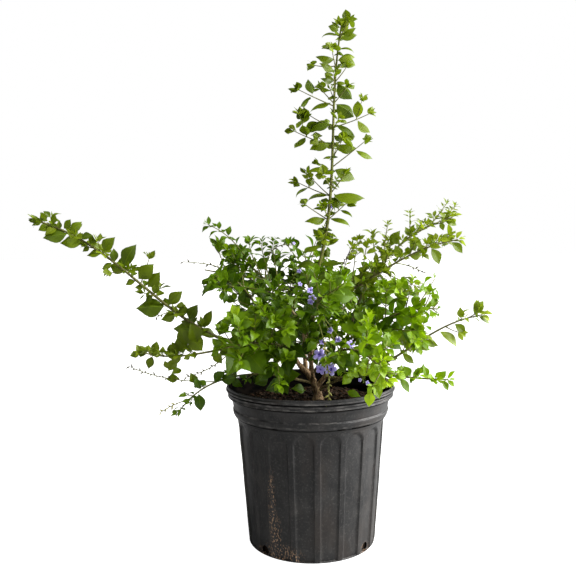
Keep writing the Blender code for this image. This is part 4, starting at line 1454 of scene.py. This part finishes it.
# %% Racemes
# kind: the calyces' look, length, spacing and turn from one to the next
KINDS = {
    "flowering": (GREEN, 0.0048, 0.0040, 137),
    "budded": (STRAW, 0.0068, 0.0040, 137),
    "bare": (DRIED, 0.0055, 0.0050, 137),
    "wilted": (WILTED, 0.0050, 0.0034, 137),
}
# shoot, place along its stem in hundredths, bend and end in millimetres, kind, and open flowers by place,
# angle in the view and width in tenths of a millimetre
RACEMES = (
    ("front", 30, (12, -75, 345), (20, -98, 308), "flowering",
     ((88, 128, 225), (100, 330, 215), (100, 215, 180), (60, 60, 120))),
    ("front", 55, (35, -85, 358), (52, -92, 338), "flowering",
     ((100, 10, 150), (85, 165, 120), (55, 170, 110))),
    ("front", 80, (0, -100, 405), (0, -98, 418), "flowering",
     ((100, 280, 140), (95, 100, 125), (70, 250, 110))),
    ("upper_left", 12, (-22, -40, 450), (-20, -60, 456), "flowering", ((100, 300, 85),)),
    ("mid_left", 50, (-40, -65, 415), (-21, -75, 430), "wilted", ((100, 20, 80),)),
    ("front_right", 55, (70, -105, 305), (77, -120, 286), "flowering", ((100, 350, 80), (90, 190, 65))),
    ("upper_right", 10, (40, -30, 452), (66, -45, 480), "wilted", ()),
    ("front", 42, (30, -105, 325), (23, -130, 256), "budded", ()),
    ("front", 50, (45, -85, 335), (50, -100, 303), "bare", ()),
    ("mid_left", 85, (-130, -30, 462), (-205, -20, 467), "bare", ()),
    ("upper_left", 40, (-75, 0, 500), (-28, -20, 492), "bare", ((100, 40, 60),)),
    ("low_left", 30, (-150, -45, 295), (-200, -50, 283), "bare", ()),
    ("trailing_left", 62, (-230, -55, 275), (-287, -60, 303), "bare", ()),
    ("trailing_left", 88, (-215, -58, 245), (-240, -60, 229), "budded", ()),
    ("long_left", 35, (-235, -22, 385), (-248, -30, 378), "bare", ()),
    ("upper_right", 55, (160, -10, 460), (190, -4, 444), "bare", ()),
    ("back_top", 60, (40, 130, 560), (65, 150, 575), "flowering", ((100, 60, 120), (80, 200, 110))),
    ("back_right", 60, (150, 150, 480), (175, 170, 470), "bare", ()),
)
# The space that is kept clear before a flower: how far forward, how far back and half its width
CLEARING = 0.045
CLEARING_BACK = -0.004
CLEARING_HALF = 0.009
RACEME_RADII = (0.0010, 0.0006)
CALYX_LENGTH = 0.006

twigs = []
crown_shapes = Crown()
buds, blooms = Pile(), Pile()


def put(pile, form, length, foot, direction, looks):
    """Adds a form to a pile at a foot, with its +X turned to a direction."""
    turn = np.array(direction.to_track_quat("X", "Z").to_matrix())
    pile.add(form[0] * length @ turn.T + np.array(foot), form[1], looks)


def keep_clear(middle):
    """Keeps the space between a flower and the viewer free, by two crossed sheets in the crown's shapes."""
    way = (Vector(CAMERA_PLACE) - middle).normalized()
    side = way.cross(UP).normalized() * CLEARING_HALF
    corners = []
    for across in (side, side.cross(way)):
        for distance in (CLEARING_BACK, CLEARING):
            corners += [middle + way * distance - across, middle + way * distance + across]
    shape = BVHTree.FromPolygons(corners, ((0, 1, 3, 2), (4, 5, 7, 6)))
    crown_shapes.add(shape, middle + way * CLEARING / 2, CLEARING / 2)


rng = random.Random(11)
for name, place, bend, end, kind, open_flowers in RACEMES:
    look, size, spacing, step = KINDS[kind]
    points = bent(along(stems[name], place / 100)[0], in_metres(bend), in_metres(end))
    add_twig(points, RACEME_RADII, 5, 2)
    length = path_length(points)
    for i in range(int(0.7 * length / spacing)):
        foot, forward = along(points, 1.0 - i * spacing / length)
        out = (turned(forward, step * i) @ forward.orthogonal().normalized() + 0.7 * forward).normalized()
        put(buds, bud, size * rng.uniform(0.8, 1.2), foot, out, [look] * len(bud[1]))
    for where, angle, tenths in open_flowers:
        foot, forward = along(points, where / 100)
        width = tenths / TENTH
        a = math.radians(angle)
        aim = Vector((math.cos(a), -0.8, math.sin(a))).normalized()
        middle = foot + aim * (0.45 * width + 0.003)
        face_aim = (aim + 0.8 * heading(VIEWER, rng.uniform(-10, 30)) + 0.2 * UP).normalized()
        put(buds, bud, CALYX_LENGTH, foot, aim, [GREEN] * len(bud[1]))
        put(blooms, bloom, width, middle, face_aim, bloom[2])
        keep_clear(middle)
print(f"{len(RACEMES)} racemes, {len(blooms.faces)} faces of flowers")

# %% Grow every shoot
# name: leaf length, longest twig, internode, tint from 0 (dark) to 1 (bright), quarter turn, forks
HABIT = {
    "leader": (0.042, 0.050, 0.0300, 0.42, 0, 0.2),
    "long_left": (0.040, 0.036, 0.0300, 0.44, 0, 0.1),
    "low_left": (0.034, 0.052, 0.0200, 0.46, 75, 0.2),
    "trailing_left": (0.032, 0.046, 0.0190, 0.36, 80, 0.2),
    "upper_left": (0.036, 0.048, 0.0200, 0.46, 60, 0.25),
    "mid_left": (0.042, 0.074, 0.0190, 0.46, 40, 0.35),
    "front_left": (0.046, 0.074, 0.0185, 0.50, 30, 0.35),
    "front": (0.040, 0.080, 0.0180, 0.46, 20, 0.40),
    "front_right": (0.038, 0.066, 0.0185, 0.55, 30, 0.40),
    "mid_right": (0.042, 0.085, 0.0195, 0.48, 40, 0.40),
    "low_right": (0.042, 0.048, 0.0260, 0.56, 75, 0.15),
    "trailing_right": (0.040, 0.040, 0.0240, 0.50, 60, 0.15),
    "upper_right": (0.040, 0.070, 0.0175, 0.56, 70, 0.40),
    "upper_right_back": (0.040, 0.070, 0.0175, 0.52, 50, 0.40),
    "back_top": (0.042, 0.078, 0.0230, 0.40, 30, 0.25),
    "back_left": (0.042, 0.078, 0.0230, 0.35, 45, 0.25),
    "back_right": (0.042, 0.078, 0.0230, 0.42, 45, 0.25),
    "back_low": (0.044, 0.072, 0.0240, 0.35, 45, 0.25),
}
# Fresh greens go to the shoots on the lit right side: partly painted light
FRESH_AND_LIT = ("front_right", "mid_right", "trailing_right", "back_right")
OLIVE = ("leader", "long_left", "low_left", "upper_right", "upper_right_back", "low_right")
ROWS = {name: 1 if name in FRESH_AND_LIT else 2 if name in OLIVE else 0 for name in HABIT}
# how far the listed leaves lean towards the viewer
LEAN = (0.3, 2.8)
LEANS = {name: (1.6, 3.6) for name in ("long_left", "low_left", "trailing_left", "upper_left")}
LEANS["leader"] = (0.2, 1.0)
SHOOT_RADII = (0.0025, 0.0010)
STEM_RADII = {"leader": (0.0031, 0.0014), "long_left": (0.0029, 0.0015)}
leaves, tally, sprays = [], {"left out": 0}, {}
for seed, (name, habit) in enumerate(HABIT.items()):
    spray = Spray(name, habit, 100 + seed)
    add_twig(spray.stem, STEM_RADII.get(name, SHOOT_RADII), 8, 3 if name == "leader" else 0)
    spray.listed(FACING_LEAVES.get(name, ()), LEAF_LIST.get(name, ()), TWIG_LIST.get(name, ()))
    sprays[name] = spray
for name, place, bend, end, size in SPRIGS:
    sprays[name].sprig(place, bend, end, size / MM)
print(f"{len(leaves)} listed leaves, {tally['left out']} left out")
for name, spray in sprays.items():
    before = len(leaves)
    if name in ("leader", "long_left"):
        spray.in_depth()
    else:
        spray.grow(name in LEAF_LIST)
    spray.tip(spray.stem[-1], forward_of(spray.stem), 0.5 * spray.leaf_length, spray.tint + 0.1)
    print(f"{name}: {len(leaves) - before} more leaves")
print(f"{len(leaves)} leaves in all, {tally['left out']} left out, {len(twigs)} twigs")

# %% [markdown]
# ## The leaf and twig finishes
#
# Young leaves at the tips are yellow-green and old ones deep green. There are three rows of greens: deep
# ones; fresh ones, which are lighter and partly painted light, for the side that gets more light; and
# olive ones for the shoots that stand clear of the crown. Each twig picks its own shade from its shoot's
# row. Some light passes through a real leaf or petal, so each mixes a Translucent shader into its
# Principled one.

# %% Greens
# Each row from its darkest to its youngest, in thousandths of linear red, green and blue
GREENS = (
    ((18, 42, 0), (36, 78, 0), (63, 122, 0), (100, 176, 1.5), (165, 255, 4)),
    ((26, 64, 0), (51, 109, 0), (91, 167, 0), (145, 236, 3), (225, 330, 8)),
    ((34, 58, 1), (56, 90, 1), (87, 127, 2), (129, 173, 7), (198, 248, 18)),
)
SHADES = len(GREENS[0])
THROUGH = 0.25
GLOW = (1.9, 2.0, 1.0)


def leaf_finish(name, colour, glow):
    """A living leaf or petal: mottled, with a waxy gloss, and light of a colour that comes through."""
    made, tree, shader, place = new_finish(name, 0.40, 0.21)
    mottle = patches(tree, place, 0.006, 0.35, 0.65, detail=3.0)
    darker, lighter = (tuple(share * c for c in colour) for share in (0.93, 1.07))
    wire(tree, shader, {"Base Color": blend(tree, mottle, darker, lighter)})
    relief(tree, shader, [(noise(tree, place, 0.005, detail=2.0), 0.0001)])
    through = node(tree, "BsdfTranslucent", {"Color": (*glow, 1.0)})
    both = node(tree, "MixShader", {"Fac": THROUGH, 1: shader.outputs["BSDF"], 2: through})
    wire(tree, tree.nodes["Material Output"], {"Surface": both})
    return made


leaf_finishes = []
for row, greens in enumerate(GREENS):
    for i, thousandths in enumerate(greens):
        colour = tuple(c / 1000 for c in thousandths)
        glow = tuple(share * c for share, c in zip(GLOW, colour))
        leaf_finishes.append(leaf_finish(f"leaf_{row}_{i}", colour, glow))
leaf_finishes.append(leaf_finish("leaf_rib", (0.10, 0.16, 0.004), (0.2, 0.3, 0.01)))
petal_finishes = [
    leaf_finish("petal", (0.36, 0.30, 0.74), (0.50, 0.44, 0.90)),
    leaf_finish("throat", (0.13, 0.08, 0.42), (0.16, 0.10, 0.50)),
    leaf_finish("petal_edge", (0.62, 0.57, 0.90), (0.70, 0.65, 0.95)),
    leaf_finish("calyx", (0.12, 0.18, 0.020), (0.20, 0.28, 0.02)),
    leaf_finish("dried_calyx", (0.060, 0.055, 0.012), (0.05, 0.04, 0.01)),
    leaf_finish("wilted_petal", (0.035, 0.020, 0.045), (0.05, 0.03, 0.08)),
    leaf_finish("straw_calyx", (0.300, 0.290, 0.080), (0.40, 0.38, 0.10)),
]
twig_finishes = [
    bark_finish("young_stem", (0.060, 0.060, 0.014), (0.11, 0.11, 0.026), (0.14, 0.13, 0.04), 0.6),
    bark_finish("green_twig", (0.070, 0.070, 0.014), (0.12, 0.125, 0.026), (0.15, 0.14, 0.04), 0.6),
    bark_finish("thin_twig", (0.090, 0.100, 0.014), (0.15, 0.17, 0.028), (0.18, 0.19, 0.05), 0.6),
    bark_finish("leader_stem", (0.075, 0.082, 0.012), (0.115, 0.125, 0.020), (0.14, 0.15, 0.03), 0.6),
]

# %% Join the leaves, flowers and twigs
foliage_nodes = ["foliage_" + name for name in SHOOTS]
MOST_FACES = 90000
pile, batch = Pile(), 1
for frame_of_leaf, length, row, shade, bend in leaves:
    points, faces, looks = forms[length > FULL_LENGTH][bend]
    moved = points * length @ np.array(frame_of_leaf.to_3x3()).T + np.array(frame_of_leaf.translation)
    green = row * SHADES + min(max(int(shade * SHADES), 0), SHADES - 1)
    pile.add(moved, faces, [len(leaf_finishes) - 1 if look else green for look in looks])
    if len(pile.faces) > MOST_FACES:
        pile.piece(f"leaves_{batch}", leaf_finishes, "foliage", foliage_nodes)
        pile, batch = Pile(), batch + 1
pile.piece(f"leaves_{batch}", leaf_finishes, "foliage", foliage_nodes)
flowering = sorted({"foliage_" + raceme[0] for raceme in RACEMES})
buds.piece("calyces", petal_finishes, "foliage", flowering)
blooms.piece("blooms", petal_finishes, "petals", flowering)

twig_pile = Pile()
for tube, faces, look in twigs:
    twig_pile.add(tube, faces, [look] * len(faces))
twig_pile.piece("twigs", twig_finishes, "foliage", foliage_nodes)
